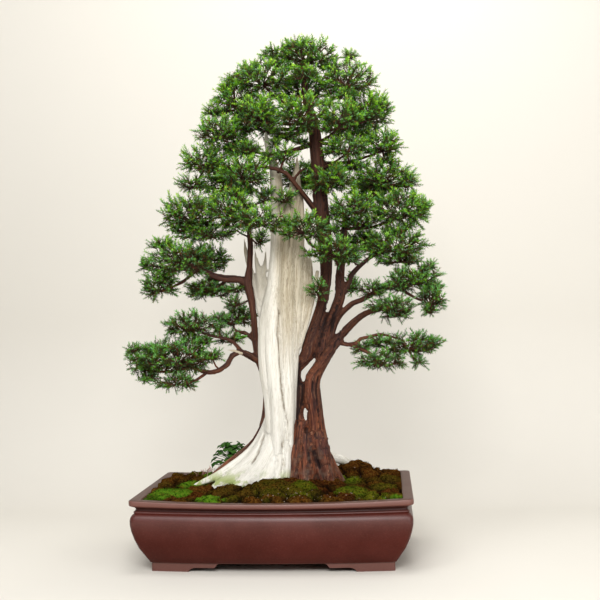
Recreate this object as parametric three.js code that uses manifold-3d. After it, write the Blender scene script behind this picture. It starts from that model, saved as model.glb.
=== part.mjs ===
// A common juniper bonsai in its oblong stoneware pot, in millimetres, +Z up.
// Everything is laid out from the middle of the pot, with the feet at z = 0 and the front at -Y.
// The finished group is then moved so that its origin is the bottom centre of its own box.

import * as THREE from "three";
import { mergeVertices } from "three/addons/utils/BufferGeometryUtils.js";
import Module from "manifold-3d";

const wasm = await Module();
wasm.setup();
const { Manifold } = wasm;

// Driving dimensions of the pot
const POT_WIDTH = 450;
const POT_DEPTH = 328;
const POT_HEIGHT = 117;
const LONG_SIDE_BOW = 14;
const RIM_SAG = 5;
const RIM_SAG_START = 90;
const RIM_WIDTH = 17;
const CORNER_RADIUS = 9;
const CORNER_STEPS = 3;
const LONG_SIDE_STEPS = 3;
const WALL_FOOT_INSET = 29;
const FOOT_HEIGHT = 14;
const FOOT_INSET = 30.4;
const FOOT_WALL = 14;
const FRONT_FOOT_GAP = 160;
const SIDE_FOOT_GAP = 84;
const FOOT_STEP_HEIGHT = 6.7;
const FOOT_STEP_FLAT = 30;
const FOOT_INNER_CURVE = 10;
const FOOT_OUTER_CURVE = 14;
const FLOOR_THICKNESS = 9;
const CAVITY_FLOOR = FOOT_HEIGHT + FLOOR_THICKNESS;
const CAVITY_SHOULDER = 60;
const CAVITY_TAPER = 24;
const DRAIN_HOLE_RADIUS = 15;
const DRAIN_HOLE_X = 92;
const SCREEN_SIZE = 46;
const SCREEN_THICKNESS = 1.2;
const SCREEN_BAR = 2.6;
const SCREEN_CELLS = 2;

// Clearance between pieces that touch, and the least detail that a fused piece keeps
const FIT = 0.3;
const WOOD_FIT = 0.5;
const SMALLEST_DETAIL = 0.15;

// Driving dimensions of the planting
const MOSS_EDGE_HEIGHT = 113;
const MOSS_THICKNESS = 7;
const MOSS_LUMPS = 1.6;
const ABOVE_PLANTING = 180;
const SOIL_FLOOR = CAVITY_FLOOR + SCREEN_THICKNESS + 2 * FIT;

// Driving dimensions of the foliage
const NEEDLE_LENGTH = 9;
const NEEDLE_SPREAD = 0.8;
const NEEDLE_LEAN = 0.6;
const NECK_RADIUS = 0.9;
const CORE_SHARE = 0.62;
const CORE_ROUGHNESS = 0.1;
const UNDERSIDE_SHARE = 0.85;
const SPRIG_REACH = 0.97;
const SPRIG_POINT = 3.5;
const SPRIG_SWAY = 0.3;
const SPRIG_BASE = 2.2;
const SPRIG_STEP = 19;
const SPRIG_SPACING = 11;
const SPRIG_TEST_SHARES = [0.3, 0.5, 0.7, 0.85, 1.05];
const CORE_SPACING = 5;
const WOOD_SPACING = 6;
const TWIG_START_RADIUS = 3.6;
const TWIG_END_RADIUS = 1.8;
const TWIG_WIDENING = 0.012;

// Solids

const toSolid = (geometry) => {
  const bare = geometry.clone();
  bare.deleteAttribute("normal");
  bare.deleteAttribute("uv");
  const merged = mergeVertices(bare, 1e-4);
  return new Manifold(new wasm.Mesh({
    numProp: 3,
    vertProperties: new Float32Array(merged.attributes.position.array),
    triVerts: new Uint32Array(merged.index.array),
  }));
};

const toGeometry = (solid) => {
  const { vertProperties, triVerts } = solid.getMesh();
  const geometry = new THREE.BufferGeometry();
  geometry.setAttribute("position", new THREE.BufferAttribute(vertProperties, 3));
  geometry.setIndex(new THREE.BufferAttribute(triVerts, 1));
  return geometry;
};

const largestBody = (solid) => solid.decompose().reduce((best, body) =>
  body.volume() > best.volume() ? body : best);

const tidy = (solid) => largestBody(solid.simplify(SMALLEST_DETAIL));

const juniper = new THREE.Group();

const addPiece = (name, solid, material) => {
  const mesh = new THREE.Mesh(toGeometry(solid), material);
  mesh.name = name;
  juniper.add(mesh);
};

const finish = (color, roughness) => new THREE.MeshStandardMaterial({ color, roughness, metalness: 0 });

// A small generator of repeatable random numbers between 0 and 1
const seeded = (seed) => {
  let state = seed;
  return () => {
    state = (state * 1664525 + 1013904223) % 4294967296;
    return state / 4294967296;
  };
};

// Pot

// The pot's outline seen from above, counter-clockwise from the middle of the front. Its long
// sides bow outwards by LONG_SIDE_BOW and its corners are round.
const outline = (inset) => {
  const halfWidth = POT_WIDTH / 2 - inset;
  const halfDepth = POT_DEPTH / 2 - inset;
  const radius = Math.max(CORNER_RADIUS - inset * 0.2, 3);
  const bowAt = (x) => LONG_SIDE_BOW * (1 - (x / halfWidth) ** 2);
  const longSide = (sign) => {
    const points = [];
    for (let i = 0; i < LONG_SIDE_STEPS; i++) {
      const x = sign * (i / LONG_SIDE_STEPS - 0.5 + 0.5 / LONG_SIDE_STEPS) * 2 * (halfWidth - radius);
      points.push(new THREE.Vector2(x, -sign * (halfDepth + bowAt(x))));
    }
    return points;
  };
  const corner = (x, y, start) => {
    const points = [];
    for (let i = 0; i <= CORNER_STEPS; i++) {
      const angle = start + (i / CORNER_STEPS) * Math.PI / 2;
      const px = x + radius * Math.cos(angle);
      points.push(new THREE.Vector2(px, y + radius * Math.sin(angle) + Math.sign(y) * bowAt(px)));
    }
    return points;
  };
  const cx = halfWidth - radius;
  const cy = halfDepth - radius;
  return [
    ...longSide(1), ...corner(cx, -cy, -Math.PI / 2), ...corner(cx, cy, 0),
    ...longSide(-1), ...corner(-cx, cy, Math.PI / 2), ...corner(-cx, -cy, Math.PI),
  ];
};

// A lathe whose round section is replaced by the pot's outline: each profile point is an inset
// from the outline and a height, or null and a height where the profile meets the middle.
const potShell = (profile) => {
  const steps = outline(0).length;
  const lathe = new THREE.LatheGeometry(
    profile.map(([inset, z]) => new THREE.Vector2(inset === null ? 0 : 100 - inset, z)), steps);
  const outlines = profile.map(([inset]) => (inset === null ? null : outline(inset)));
  const position = lathe.attributes.position;
  for (let i = 0; i < position.count; i++) {
    const row = i % profile.length;
    const step = Math.floor(i / profile.length) % steps;
    const z = profile[row][1];
    const point = outlines[row] ? outlines[row][step] : new THREE.Vector2(0, 0);
    const rise = THREE.MathUtils.clamp((z - RIM_SAG_START) / (POT_HEIGHT - RIM_SAG_START), 0, 1.2);
    const sag = outlines[row] ? RIM_SAG * (1 - (2 * point.x / POT_WIDTH) ** 2) * rise : 0;
    position.setXYZ(i, point.x, point.y, z - sag);
  }
  return toSolid(lathe);
};

const outlineBlock = (inset, bottom, top) => {
  const shape = new THREE.Shape(outline(inset));
  const geometry = new THREE.ExtrudeGeometry(shape, { depth: top - bottom, bevelEnabled: false });
  return toSolid(geometry.translate(0, 0, bottom));
};

// The gap between two feet, seen along the wall: two curved steps up from each foot
const footGap = (span, through, turn) => {
  const gap = new THREE.Shape();
  const top = span / 2;
  const stepIn = top + FOOT_INNER_CURVE;
  const stepOut = stepIn + FOOT_STEP_FLAT;
  const foot = stepOut + FOOT_OUTER_CURVE;
  gap.moveTo(-foot, -1);
  gap.lineTo(-foot, 0);
  gap.quadraticCurveTo(-foot + 4, FOOT_STEP_HEIGHT, -stepOut, FOOT_STEP_HEIGHT);
  gap.lineTo(-stepIn, FOOT_STEP_HEIGHT);
  gap.quadraticCurveTo(-stepIn + 2, FOOT_HEIGHT, -top, FOOT_HEIGHT);
  gap.lineTo(top, FOOT_HEIGHT);
  gap.quadraticCurveTo(stepIn - 2, FOOT_HEIGHT, stepIn, FOOT_STEP_HEIGHT);
  gap.lineTo(stepOut, FOOT_STEP_HEIGHT);
  gap.quadraticCurveTo(foot - 4, FOOT_STEP_HEIGHT, foot, 0);
  gap.lineTo(foot, -1);
  const options = { depth: through, bevelEnabled: false, curveSegments: 3 };
  const geometry = new THREE.ExtrudeGeometry(gap, options).translate(0, 0, -through / 2);
  return toSolid(geometry.rotateX(Math.PI / 2).rotateZ(turn));
};

const drainHole = (x) => {
  const geometry = new THREE.CylinderGeometry(DRAIN_HOLE_RADIUS, DRAIN_HOLE_RADIUS, 40, 20);
  return toSolid(geometry.rotateX(Math.PI / 2).translate(x, 0, 20));
};

const pot = () => {
  const body = potShell([
    [null, FOOT_HEIGHT], [WALL_FOOT_INSET, FOOT_HEIGHT], [21.3, 25.8], [13.4, 38.4], [6.9, 54.2],
    [3, 67], [1, 82], [3.4, 91], [7.4, 95], [6.8, 97.6], [9.4, 100.4], [9.4, 104], [1.6, 107.6],
    [0, 109.4], [0, 115.4], [1.6, POT_HEIGHT], [RIM_WIDTH, POT_HEIGHT],
    [RIM_WIDTH, CAVITY_SHOULDER], [RIM_WIDTH + CAVITY_TAPER, CAVITY_FLOOR], [null, CAVITY_FLOOR],
  ]);
  const ring = outlineBlock(FOOT_INSET, 0, FOOT_HEIGHT + 1)
    .subtract(outlineBlock(FOOT_INSET + FOOT_WALL, -1, FOOT_HEIGHT));
  const feet = ring
    .subtract(footGap(FRONT_FOOT_GAP, POT_DEPTH * 2, 0))
    .subtract(footGap(SIDE_FOOT_GAP, POT_WIDTH * 2, Math.PI / 2));
  return body.add(feet).subtract(drainHole(-DRAIN_HOLE_X)).subtract(drainHole(DRAIN_HOLE_X));
};

// A square plastic mesh that lies over a drain hole
const drainScreen = (x) => {
  const pitch = (SCREEN_SIZE - SCREEN_BAR) / SCREEN_CELLS;
  const bars = [];
  for (let i = 0; i <= SCREEN_CELLS; i++) {
    const across = pitch * (i - SCREEN_CELLS / 2);
    const z = CAVITY_FLOOR + FIT + SCREEN_THICKNESS / 2;
    bars.push(new THREE.BoxGeometry(SCREEN_SIZE, SCREEN_BAR, SCREEN_THICKNESS).translate(x, across, z));
    bars.push(new THREE.BoxGeometry(SCREEN_BAR, SCREEN_SIZE, SCREEN_THICKNESS).translate(x + across, 0, z));
  }
  return Manifold.union(bars.map(toSolid));
};

// Wood

// A round limb along a route of [x, y, z, radius] points, made larger all round by grow
const limb = (route, sides, grow = 0) => {
  const curve = new THREE.CatmullRomCurve3(route.map(([x, y, z]) => new THREE.Vector3(x, y, z)));
  const rings = route.length - 1;
  const along = route.map((_, i) => curve.getTangent(i / rings));
  const across = [];
  const start = Math.abs(along[0].x) < 0.9 ? new THREE.Vector3(1, 0, 0) : new THREE.Vector3(0, 1, 0);
  across.push(start.projectOnPlane(along[0]).normalize());
  const turn = new THREE.Quaternion();
  for (let i = 1; i <= rings; i++) {
    turn.setFromUnitVectors(along[i - 1], along[i]);
    across.push(across[i - 1].clone().applyQuaternion(turn));
  }
  const geometry = new THREE.CylinderGeometry(1, 1, 1, sides, rings);
  const position = geometry.attributes.position;
  const local = new THREE.Vector3();
  for (let i = 0; i < position.count; i++) {
    local.fromBufferAttribute(position, i);
    const step = Math.round((local.y + 0.5) * rings);
    const [x, y, z, radius] = route[step];
    const over = across[step].clone().cross(along[step]);
    const lengthen = step === 0 ? -grow : step === rings ? grow : 0;
    const place = new THREE.Vector3(x, y, z)
      .addScaledVector(across[step], local.x * (radius + grow))
      .addScaledVector(over, local.z * (radius + grow))
      .addScaledVector(along[step], lengthen);
    position.setXYZ(i, place.x, place.y, place.z);
  }
  return toSolid(geometry);
};

// Routes of the live right-hand trunk, its stems and its limbs
const LIVE_TRUNK = {
  mainStem: [
    [34, 4, 92, 16], [37, 4, 145, 18], [43, 2, 200, 15], [41, 4, 260, 13], [33, 9, 300, 12],
    [40, 8, 325, 12], [54, 4, 352, 13], [80, 0, 425, 14], [86, -2, 500, 13.5], [80, -2, 600, 13],
    [78, 0, 690, 12], [70, 0, 735, 9], [56, 0, 782, 6.5], [57, 0, 846, 3],
  ],
  rightStem: [
    [70, 4, 92, 21], [70, 4, 135, 24], [67, 1, 190, 19], [61, -3, 245, 16],
    [60, -5, 280, 15], [66, -6, 303, 12.5], [77, -7, 321, 12], [92, -8, 345, 11],
    [108, -8, 366, 9], [126, -12, 385, 8], [164, -22, 411, 6.5], [189, -30, 416, 4],
  ],
  innerStem: [
    [64, -4, 314, 9], [78, -2, 352, 10], [98, -2, 409, 9], [109, -2, 436, 9], [110, -2, 471, 7.5],
    [115, 2, 532, 6], [118, 2, 562, 5], [122, -4, 582, 4],
  ],
  innerLimb: [[111, -2, 438, 6], [126, -2, 458, 6], [132, -2, 474, 6], [158, 0, 498, 5], [192, -4, 520, 3]],
  middleLimb: [
    [91, -4, 348, 6], [105, 2, 398, 5.5], [119, 3, 415, 5.5], [150, 4, 430, 5.5], [204, 5, 453, 4.5],
    [233, 5, 464, 3],
  ],
  lowLimb: [
    [102, -8, 358, 6], [122, -8, 353, 5.5], [135, -7, 355, 5.5], [146, -5, 364, 5], [180, -2, 370, 4.5],
    [216, 0, 359, 3],
  ],
  lowTwig: [[124, -8, 354, 3.5], [150, -20, 343, 3], [172, -30, 334, 2]],
  crossingLimb: [
    [80, -4, 578, 6], [53, -20, 606, 6], [30, -27, 628, 5.5], [8, -32, 648, 4.5], [-22, -38, 656, 4],
    [-42, -48, 654, 2.5],
  ],
  frontRoot: [[54, -4, 150, 16], [49, -28, 130, 11], [44, -46, 112, 6]],
  rightRoot: [[76, 6, 158, 16], [96, 12, 134, 10], [116, 18, 112, 5]],
  rearRoot: [[60, 14, 150, 16], [56, 36, 130, 10], [50, 54, 110, 5]],
};

// Routes of the live vein on the left: a strip of bark up the left root and behind the
// deadwood, then the left stem and its limbs
const LIVE_VEIN = {
  stem: [
    [-120, -5, 132, 3], [-90, -1, 153, 4.5], [-53, 4, 179, 5], [-32, 8, 203, 5.5],
    [-17, 16, 245, 7], [-16, 21, 290, 7.5], [-27, 14, 322, 8], [-38, 5, 360, 8],
    [-39, 2, 410, 7.5], [-50, 3, 465, 8], [-40, 3, 496, 6],
    [-41, 2, 540, 5.5], [-54, 5, 598, 4.5], [-80, 4, 640, 3.5], [-108, 0, 670, 2.5],
  ],
  leftLimb: [[-50, 3, 462, 6], [-72, 4, 469, 7], [-96, 2, 470, 6.5], [-120, -2, 484, 5], [-142, -7, 503, 3]],
  lowLimb: [
    [-31, 8, 328, 6.5], [-51, 0, 339, 6.5], [-64, -5, 345, 6], [-76, -8, 338, 5.5], [-85, -10, 322, 5],
    [-98, -12, 313, 4.5], [-118, -14, 309, 4], [-142, -16, 318, 3.5], [-162, -18, 332, 2.5],
  ],
  lowOffshoot: [[-58, -4, 342, 4], [-82, -6, 364, 3.5], [-110, -8, 374, 3], [-140, -10, 388, 2]],
  innerLimb: [[-37, 6, 362, 4.5], [-49, 16, 378, 4], [-62, 27, 392, 3.5], [-71, 34, 404, 2.5]],
  frontLimb: [[-41, 2, 548, 4.5], [-46, -18, 572, 4], [-56, -42, 586, 3], [-64, -58, 592, 2]],
};

// Bleached deadwood: the trunk's sections as [z, x, y, half width, half depth]
const DEADWOOD_TRUNK = [
  [92, -6, 2, 26, 26], [130, -6, 0, 31, 29], [160, -3, 0, 29, 28], [193, 2, 0, 27, 26],
  [240, 6, 0, 26, 24], [288, 7, 0, 30, 24], [328, 8, 0, 36, 25], [367, 9, 0, 38, 25],
  [400, 13, 0, 39, 25], [427, 21, 1, 39, 24], [460, 25, 1, 36, 22], [500, 24, 1, 32, 20],
  [537, 23, 0, 29, 17], [560, 23, 0, 27, 14],
];
const DEADWOOD_SIDES = 14;
const DEADWOOD_RIBS = 5;
const DEADWOOD_RIB_DEPTH = 0.07;

const DEADWOOD_LIMBS = {
  leftSpire: [[9, 0, 520, 14], [6, 0, 575, 13], [5, 0, 625, 11], [2, 0, 670, 7], [-8, 1, 712, 1]],
  rightSpire: [[41, 0, 520, 14], [43, 0, 575, 11.5], [42, 1, 615, 9], [40, 2, 650, 5], [41, 3, 681, 1]],
  rightWedge: [[52, 8, 410, 12], [60, 10, 450, 9], [67, 12, 494, 1.5]],
  outerJin: [[-16, 10, 405, 8], [-30, 15, 445, 6.5], [-42, 17, 484, 5], [-55, 17, 537, 1]],
  innerJin: [[-10, 6, 430, 8], [-24, 8, 474, 5], [-30, 9, 511, 1]],
  upperRoot: [
    [-8, 4, 232, 12], [-22, 2, 200, 11], [-46, -2, 171, 11], [-74, -5, 150, 9], [-104, -9, 134, 6],
    [-131, -13, 120, 3],
  ],
  lowerRoot: [[-8, -6, 195, 17], [-26, -12, 160, 16], [-56, -17, 138, 12], [-86, -18, 126, 7], [-106, -18, 116, 3]],
  frontRoot: [[4, -12, 170, 14], [0, -28, 140, 10], [-6, -42, 116, 5]],
  rearRoot: [
    [6, 16, 192, 13], [40, 42, 174, 11], [74, 62, 158, 10], [104, 84, 147, 8], [126, 102, 134, 4],
  ],
  stubJin: [[-62, -7, 340, 4], [-76, -10, 346, 3], [-86, -12, 347, 0.8]],
};

const deadwoodTrunk = (grow = 0) => {
  const rings = DEADWOOD_TRUNK.length - 1;
  const geometry = new THREE.CylinderGeometry(1, 1, 1, DEADWOOD_SIDES, rings).rotateX(Math.PI / 2);
  const position = geometry.attributes.position;
  for (let i = 0; i < position.count; i++) {
    const step = Math.round((position.getZ(i) + 0.5) * rings);
    const [z, x, y, halfWidth, halfDepth] = DEADWOOD_TRUNK[step];
    const angle = Math.atan2(position.getY(i), position.getX(i));
    const rib = 1 + DEADWOOD_RIB_DEPTH * Math.cos(DEADWOOD_RIBS * angle + z / 90);
    position.setXYZ(
      i, x + position.getX(i) * (halfWidth * rib + grow), y + position.getY(i) * (halfDepth * rib + grow), z);
  }
  return toSolid(geometry);
};

// Pads of foliage: the middle and half sizes of each, and where its twig leaves the wood.
// A pad with no twig sits on the end of a limb that is drawn above.
const PADS = {
  apex_top: { at: [60, 0, 850], half: [62, 50, 33] },
  apex_left: { at: [-15, -12, 813], half: [58, 45, 37], twig: [60, 0, 760] },
  apex_right: { at: [129, -12, 802], half: [56, 45, 38], twig: [59, 0, 765] },
  apex_rear: { at: [48, 58, 808], half: [64, 38, 36], twig: [57, 0, 780] },
  crown_left: { at: [-64, 12, 778], half: [52, 46, 38], twig: [72, 0, 728] },
  crown_left_low: { at: [-92, -10, 722], half: [51, 45, 34], twig: [76, 0, 700] },
  crown_left_front: { at: [-20, -54, 745], half: [46, 34, 36], twig: [70, 0, 733] },
  crown_front: { at: [52, -68, 740], half: [54, 34, 40], twig: [74, 0, 715] },
  crown_right_front: { at: [119, -60, 732], half: [46, 34, 36], twig: [77, 0, 700] },
  crown_right: { at: [164, 5, 752], half: [46, 48, 44], twig: [73, 0, 722] },
  crown_right_low: { at: [187, -5, 692], half: [40, 45, 31], twig: [79, 0, 665] },
  crown_mid_right: { at: [127, -40, 684], half: [46, 34, 27], twig: [79, 0, 655] },
  crown_rear_left: { at: [-38, 88, 754], half: [58, 38, 38], twig: [71, 0, 728] },
  crown_rear_right: { at: [130, 88, 742], half: [62, 38, 38], twig: [76, 0, 700] },
  left_5: { at: [-118, 0, 674], half: [50, 46, 32] },
  left_5_front: { at: [-44, -52, 645], half: [52, 38, 38] },
  middle_tuft: { at: [21, -36, 674], half: [27, 24, 23], twig: [10, -31, 646] },
  rear_left: { at: [-96, 92, 648], half: [62, 40, 36], twig: [-58, 5, 606] },
  left_4: { at: [-146, 5, 586], half: [58, 52, 41], twig: [-50, 5, 582] },
  left_4_front: { at: [-68, -63, 588], half: [52, 38, 38] },
  left_4_low: { at: [-12, -88, 563], half: [54, 34, 30], twig: [-46, -18, 572] },
  front_of_trunk: { at: [54, -78, 550], half: [53, 34, 30], twig: [84, -2, 520] },
  left_3: { at: [-160, -8, 504], half: [66, 52, 38] },
  left_3_tip: { at: [-202, 0, 463], half: [36, 40, 36], twig: [-130, -4, 492] },
  left_3_rear: { at: [-138, 88, 507], half: [60, 40, 32], twig: [-96, 2, 470] },
  left_3_low: { at: [-123, 42, 451], half: [48, 34, 21], twig: [-84, 3, 470] },
  left_2: { at: [-146, -10, 392], half: [54, 44, 28] },
  left_2_inner: { at: [-72, 36, 403], half: [37, 30, 30] },
  left_1: { at: [-170, -18, 338], half: [74, 58, 34] },
  left_1_tip: { at: [-233, 5, 328], half: [34, 40, 34], twig: [-142, -16, 322] },
  left_1_low: { at: [-166, -32, 297], half: [48, 36, 18], twig: [-116, -12, 313] },
  right_5: { at: [190, 5, 638], half: [59, 48, 32], twig: [120, -2, 574] },
  right_5_front: { at: [99, -48, 632], half: [48, 32, 27], twig: [79, -1, 612] },
  rear_middle: { at: [76, 98, 650], half: [58, 38, 34], twig: [79, -1, 620] },
  rear_right: { at: [168, 92, 624], half: [60, 42, 36], twig: [118, 1, 568] },
  right_4: { at: [214, 0, 583], half: [61, 52, 38], twig: [115, 3, 552] },
  right_4_inner: { at: [136, -42, 584], half: [44, 34, 32], twig: [120, -2, 574] },
  right_3: { at: [203, -5, 522], half: [65, 50, 32] },
  right_3_front: { at: [105, -64, 510], half: [57, 36, 28], twig: [112, 2, 474] },
  right_3_rear: { at: [144, 90, 531], half: [60, 42, 30], twig: [112, 3, 505] },
  front_tuft: { at: [75, -46, 446], half: [25, 22, 22], twig: [83, -1, 432] },
  right_2: { at: [236, 5, 464], half: [54, 50, 27] },
  right_2_inner: { at: [164, -8, 446], half: [32, 30, 19] },
  right_2_tip: { at: [264, -14, 430], half: [30, 34, 30], twig: [204, 5, 453] },
  right_2_low: { at: [196, -36, 418], half: [48, 36, 21] },
  right_1: { at: [224, 0, 352], half: [66, 44, 26] },
  right_1_low: { at: [178, -33, 327], half: [52, 36, 22] },
};

// A twig leaves the wood level, then rises into its pad
const twigRoute = ({ at, twig }) => {
  const [x0, y0, z0] = twig;
  const [x1, y1, z1] = at;
  const between = (share, lift, radius) => [
    x0 + (x1 - x0) * share, y0 + (y1 - y0) * share, z0 + (z1 - z0) * (share - lift), radius];
  const span = Math.hypot(x1 - x0, y1 - y0, z1 - z0);
  const slim = TWIG_START_RADIUS + TWIG_WIDENING * span;
  return [
    [x0, y0, z0, slim],
    between(0.5, 0.12, slim * 0.75),
    between(0.96, 0, TWIG_END_RADIUS),
  ];
};

const VEIN_TWIGS = [
  "rear_left", "left_4", "left_4_low", "left_3_tip", "left_3_rear", "left_3_low", "left_1_tip", "left_1_low"];
const twigsOf = (onVein) => Object.entries(PADS)
  .filter(([name, pad]) => pad.twig && VEIN_TWIGS.includes(name) === onVein)
  .map(([, pad]) => twigRoute(pad));

const TRUNK_SIDES = 7;
const LIMB_SIDES = 5;
const TWIG_SIDES = 4;

const sidesFor = (route) => {
  const thickest = Math.max(...route.map((point) => point[3]));
  return thickest > 10 ? TRUNK_SIDES : thickest > 5 ? LIMB_SIDES : TWIG_SIDES;
};

const limbs = (routes, grow) => Manifold.union(routes.map((route) => limb(route, sidesFor(route), grow)));

const trunkRoutes = [...Object.values(LIVE_TRUNK), ...twigsOf(false)];
const veinRoutes = [...Object.values(LIVE_VEIN), ...twigsOf(true)];
const deadRoutes = Object.values(DEADWOOD_LIMBS);

const liveTrunk = tidy(limbs(trunkRoutes, 0));
const liveTrunkGrown = limbs(trunkRoutes, WOOD_FIT);
const liveVein = tidy(limbs(veinRoutes, 0).subtract(liveTrunkGrown));
const liveGrown = liveTrunkGrown.add(limbs(veinRoutes, WOOD_FIT));
const deadwood = tidy(limbs(deadRoutes, 0).add(deadwoodTrunk()).subtract(liveGrown));
const woodGrown = Manifold.union([liveGrown, limbs(deadRoutes, WOOD_FIT), deadwoodTrunk(WOOD_FIT)]);

// Foliage

const woodPoints = [...trunkRoutes, ...veinRoutes, ...deadRoutes].flatMap((route) => {
  const points = [];
  for (let i = 1; i < route.length; i++) {
    for (let share = 0; share < 1; share += 0.125) {
      const [x, y, z, radius] = route[i].map((value, axis) =>
        route[i - 1][axis] + (value - route[i - 1][axis]) * share);
      points.push({ point: new THREE.Vector3(x, y, z), radius });
    }
  }
  return points;
});

const placedSprigs = [];

// True where a sprig would cross another pad's core or sprigs, or the wood
const isBlocked = (name, spots) => {
  const inOtherCore = Object.entries(PADS).some(([other, { at, half }]) => other !== name
    && spots.some((spot) => Math.hypot(
      (spot.x - at[0]) / (half[0] * CORE_SHARE + CORE_SPACING),
      (spot.y - at[1]) / (half[1] * CORE_SHARE + CORE_SPACING),
      (spot.z - at[2]) / (half[2] * CORE_SHARE + CORE_SPACING)) < 1));
  const nearSprig = placedSprigs.some((placed) => placed.name !== name
    && spots.some((spot) => placed.spots.some((taken) => taken.distanceTo(spot) < SPRIG_SPACING)));
  const nearWood = spots.some((spot) => woodPoints.some(({ point, radius }) =>
    point.distanceTo(spot) < radius + WOOD_SPACING));
  return inOtherCore || nearSprig || nearWood;
};

// A pad is a small core whose faces are drawn out into tapered sprigs. Each sprig narrows to a
// neck near the pad's outline and ends in a point with a whorl of three needles round it.
const pad = (name, { at, half }, random) => {
  const rough = new THREE.IcosahedronGeometry(1, 0).rotateZ(at[0]);
  rough.deleteAttribute("normal");
  rough.deleteAttribute("uv");
  const core = mergeVertices(rough, 1e-4);
  const middle = new THREE.Vector3(...at);
  const size = new THREE.Vector3(...half);
  const toPad = (direction, share) => {
    const under = direction.z < 0 ? UNDERSIDE_SHARE : 1;
    return new THREE.Vector3(direction.x, direction.y, direction.z * under)
      .multiply(size).multiplyScalar(share).add(middle);
  };
  const corners = [];
  for (let i = 0; i < core.attributes.position.count; i++) {
    const direction = new THREE.Vector3().fromBufferAttribute(core.attributes.position, i);
    corners.push(toPad(direction, CORE_SHARE * (1 + CORE_ROUGHNESS * (2 * random() - 1))));
  }
  const faces = [];
  for (let i = 0; i < core.index.count; i += 3) {
    faces.push([core.index.getX(i), core.index.getX(i + 1), core.index.getX(i + 2)]);
  }
  const order = faces.map((face) => ({ face, rank: random() })).sort((one, two) => one.rank - two.rank);
  const triangles = [];
  const sprigs = Math.round(SPRIG_BASE + (half[0] + half[1] + half[2]) / SPRIG_STEP);
  let drawn = 0;
  for (const { face } of order) {
    const [a, b, c] = face.map((corner) => corners[corner]);
    const root = new THREE.Vector3().add(a).add(b).add(c).divideScalar(3);
    const outward = root.clone().sub(middle).divide(size).normalize();
    outward.x += (random() - 0.5) * SPRIG_SWAY;
    outward.y += (random() - 0.5) * SPRIG_SWAY;
    const tip = toPad(outward.normalize(), SPRIG_REACH);
    const spots = SPRIG_TEST_SHARES.map((share) => root.clone().lerp(tip, share));
    if (drawn >= sprigs || isBlocked(name, spots)) {
      triangles.push(face);
      continue;
    }
    drawn += 1;
    placedSprigs.push({ name, spots });
    const along = tip.clone().sub(root).normalize();
    const neckMiddle = tip.clone().addScaledVector(along, -SPRIG_POINT);
    const neck = [a, b, c].map((corner) => corner.clone().sub(root).projectOnPlane(along)
      .setLength(NECK_RADIUS).add(neckMiddle));
    const first = corners.length;
    corners.push(...neck, tip);
    const whorl = neck.map((side, i) => {
      const next = neck[(i + 1) % 3];
      const base = side.clone().add(next).add(tip).divideScalar(3);
      const away = base.clone().sub(neckMiddle).projectOnPlane(along).normalize();
      return base.addScaledVector(away, NEEDLE_LENGTH * NEEDLE_SPREAD)
        .addScaledVector(along, NEEDLE_LENGTH * NEEDLE_LEAN);
    });
    corners.push(...whorl);
    for (let i = 0; i < 3; i++) {
      const next = (i + 1) % 3;
      const [low, lowNext, high, highNext] = [face[i], face[next], first + i, first + next];
      const needle = first + 4 + i;
      triangles.push([low, lowNext, highNext], [low, highNext, high]);
      triangles.push([high, highNext, needle], [highNext, first + 3, needle], [first + 3, high, needle]);
    }
  }
  const geometry = new THREE.BufferGeometry().setFromPoints(corners);
  geometry.setIndex(triangles.flat());
  return toSolid(geometry);
};

const pads = Object.entries(PADS).map(([name, sizes], index) =>
  ({ name, solid: tidy(pad(name, sizes, seeded(index + 11)).subtract(woodGrown)) }));

// Soil and moss

// The moss rises from the rim to the trunk, and higher at the right rear
const MOUNDS = [
  { x: 15, y: 5, high: 16, wide: 105, deep: 80 },
  { x: 130, y: 95, high: 24, wide: 55, deep: 42 },
  { x: -120, y: 80, high: 10, wide: 60, deep: 45 },
  { x: -175, y: 20, high: 5, wide: 35, deep: 40 },
];
const mossHeight = (x, y) => {
  const mounds = MOUNDS.reduce((sum, { x: cx, y: cy, high, wide, deep }) =>
    sum + high * Math.exp(-(((x - cx) / wide) ** 2) - ((y - cy) / deep) ** 2), 0);
  const lumps = MOSS_LUMPS * Math.sin(x / 17 + y / 29) * Math.cos(y / 15 - x / 41);
  return MOSS_EDGE_HEIGHT + mounds + lumps;
};

// A block with a mounded top that lies drop below the moss, before it is trimmed to the pot
const mounded = (drop) => {
  const geometry = new THREE.BoxGeometry(POT_WIDTH, POT_DEPTH + 2 * LONG_SIDE_BOW, 1, 10, 7, 1);
  const position = geometry.attributes.position;
  for (let i = 0; i < position.count; i++) {
    const top = position.getZ(i) > 0;
    position.setZ(i, top ? mossHeight(position.getX(i), position.getY(i)) - drop : 0);
  }
  return toSolid(geometry);
};

// What fills the pot's inside, kept fit away from its walls and open above the rim
const cavity = (fit) => potShell([
  [null, CAVITY_FLOOR + fit], [RIM_WIDTH + CAVITY_TAPER + fit, CAVITY_FLOOR + fit],
  [RIM_WIDTH + fit, CAVITY_SHOULDER + fit], [RIM_WIDTH + fit, ABOVE_PLANTING], [null, ABOVE_PLANTING],
]);

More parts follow.
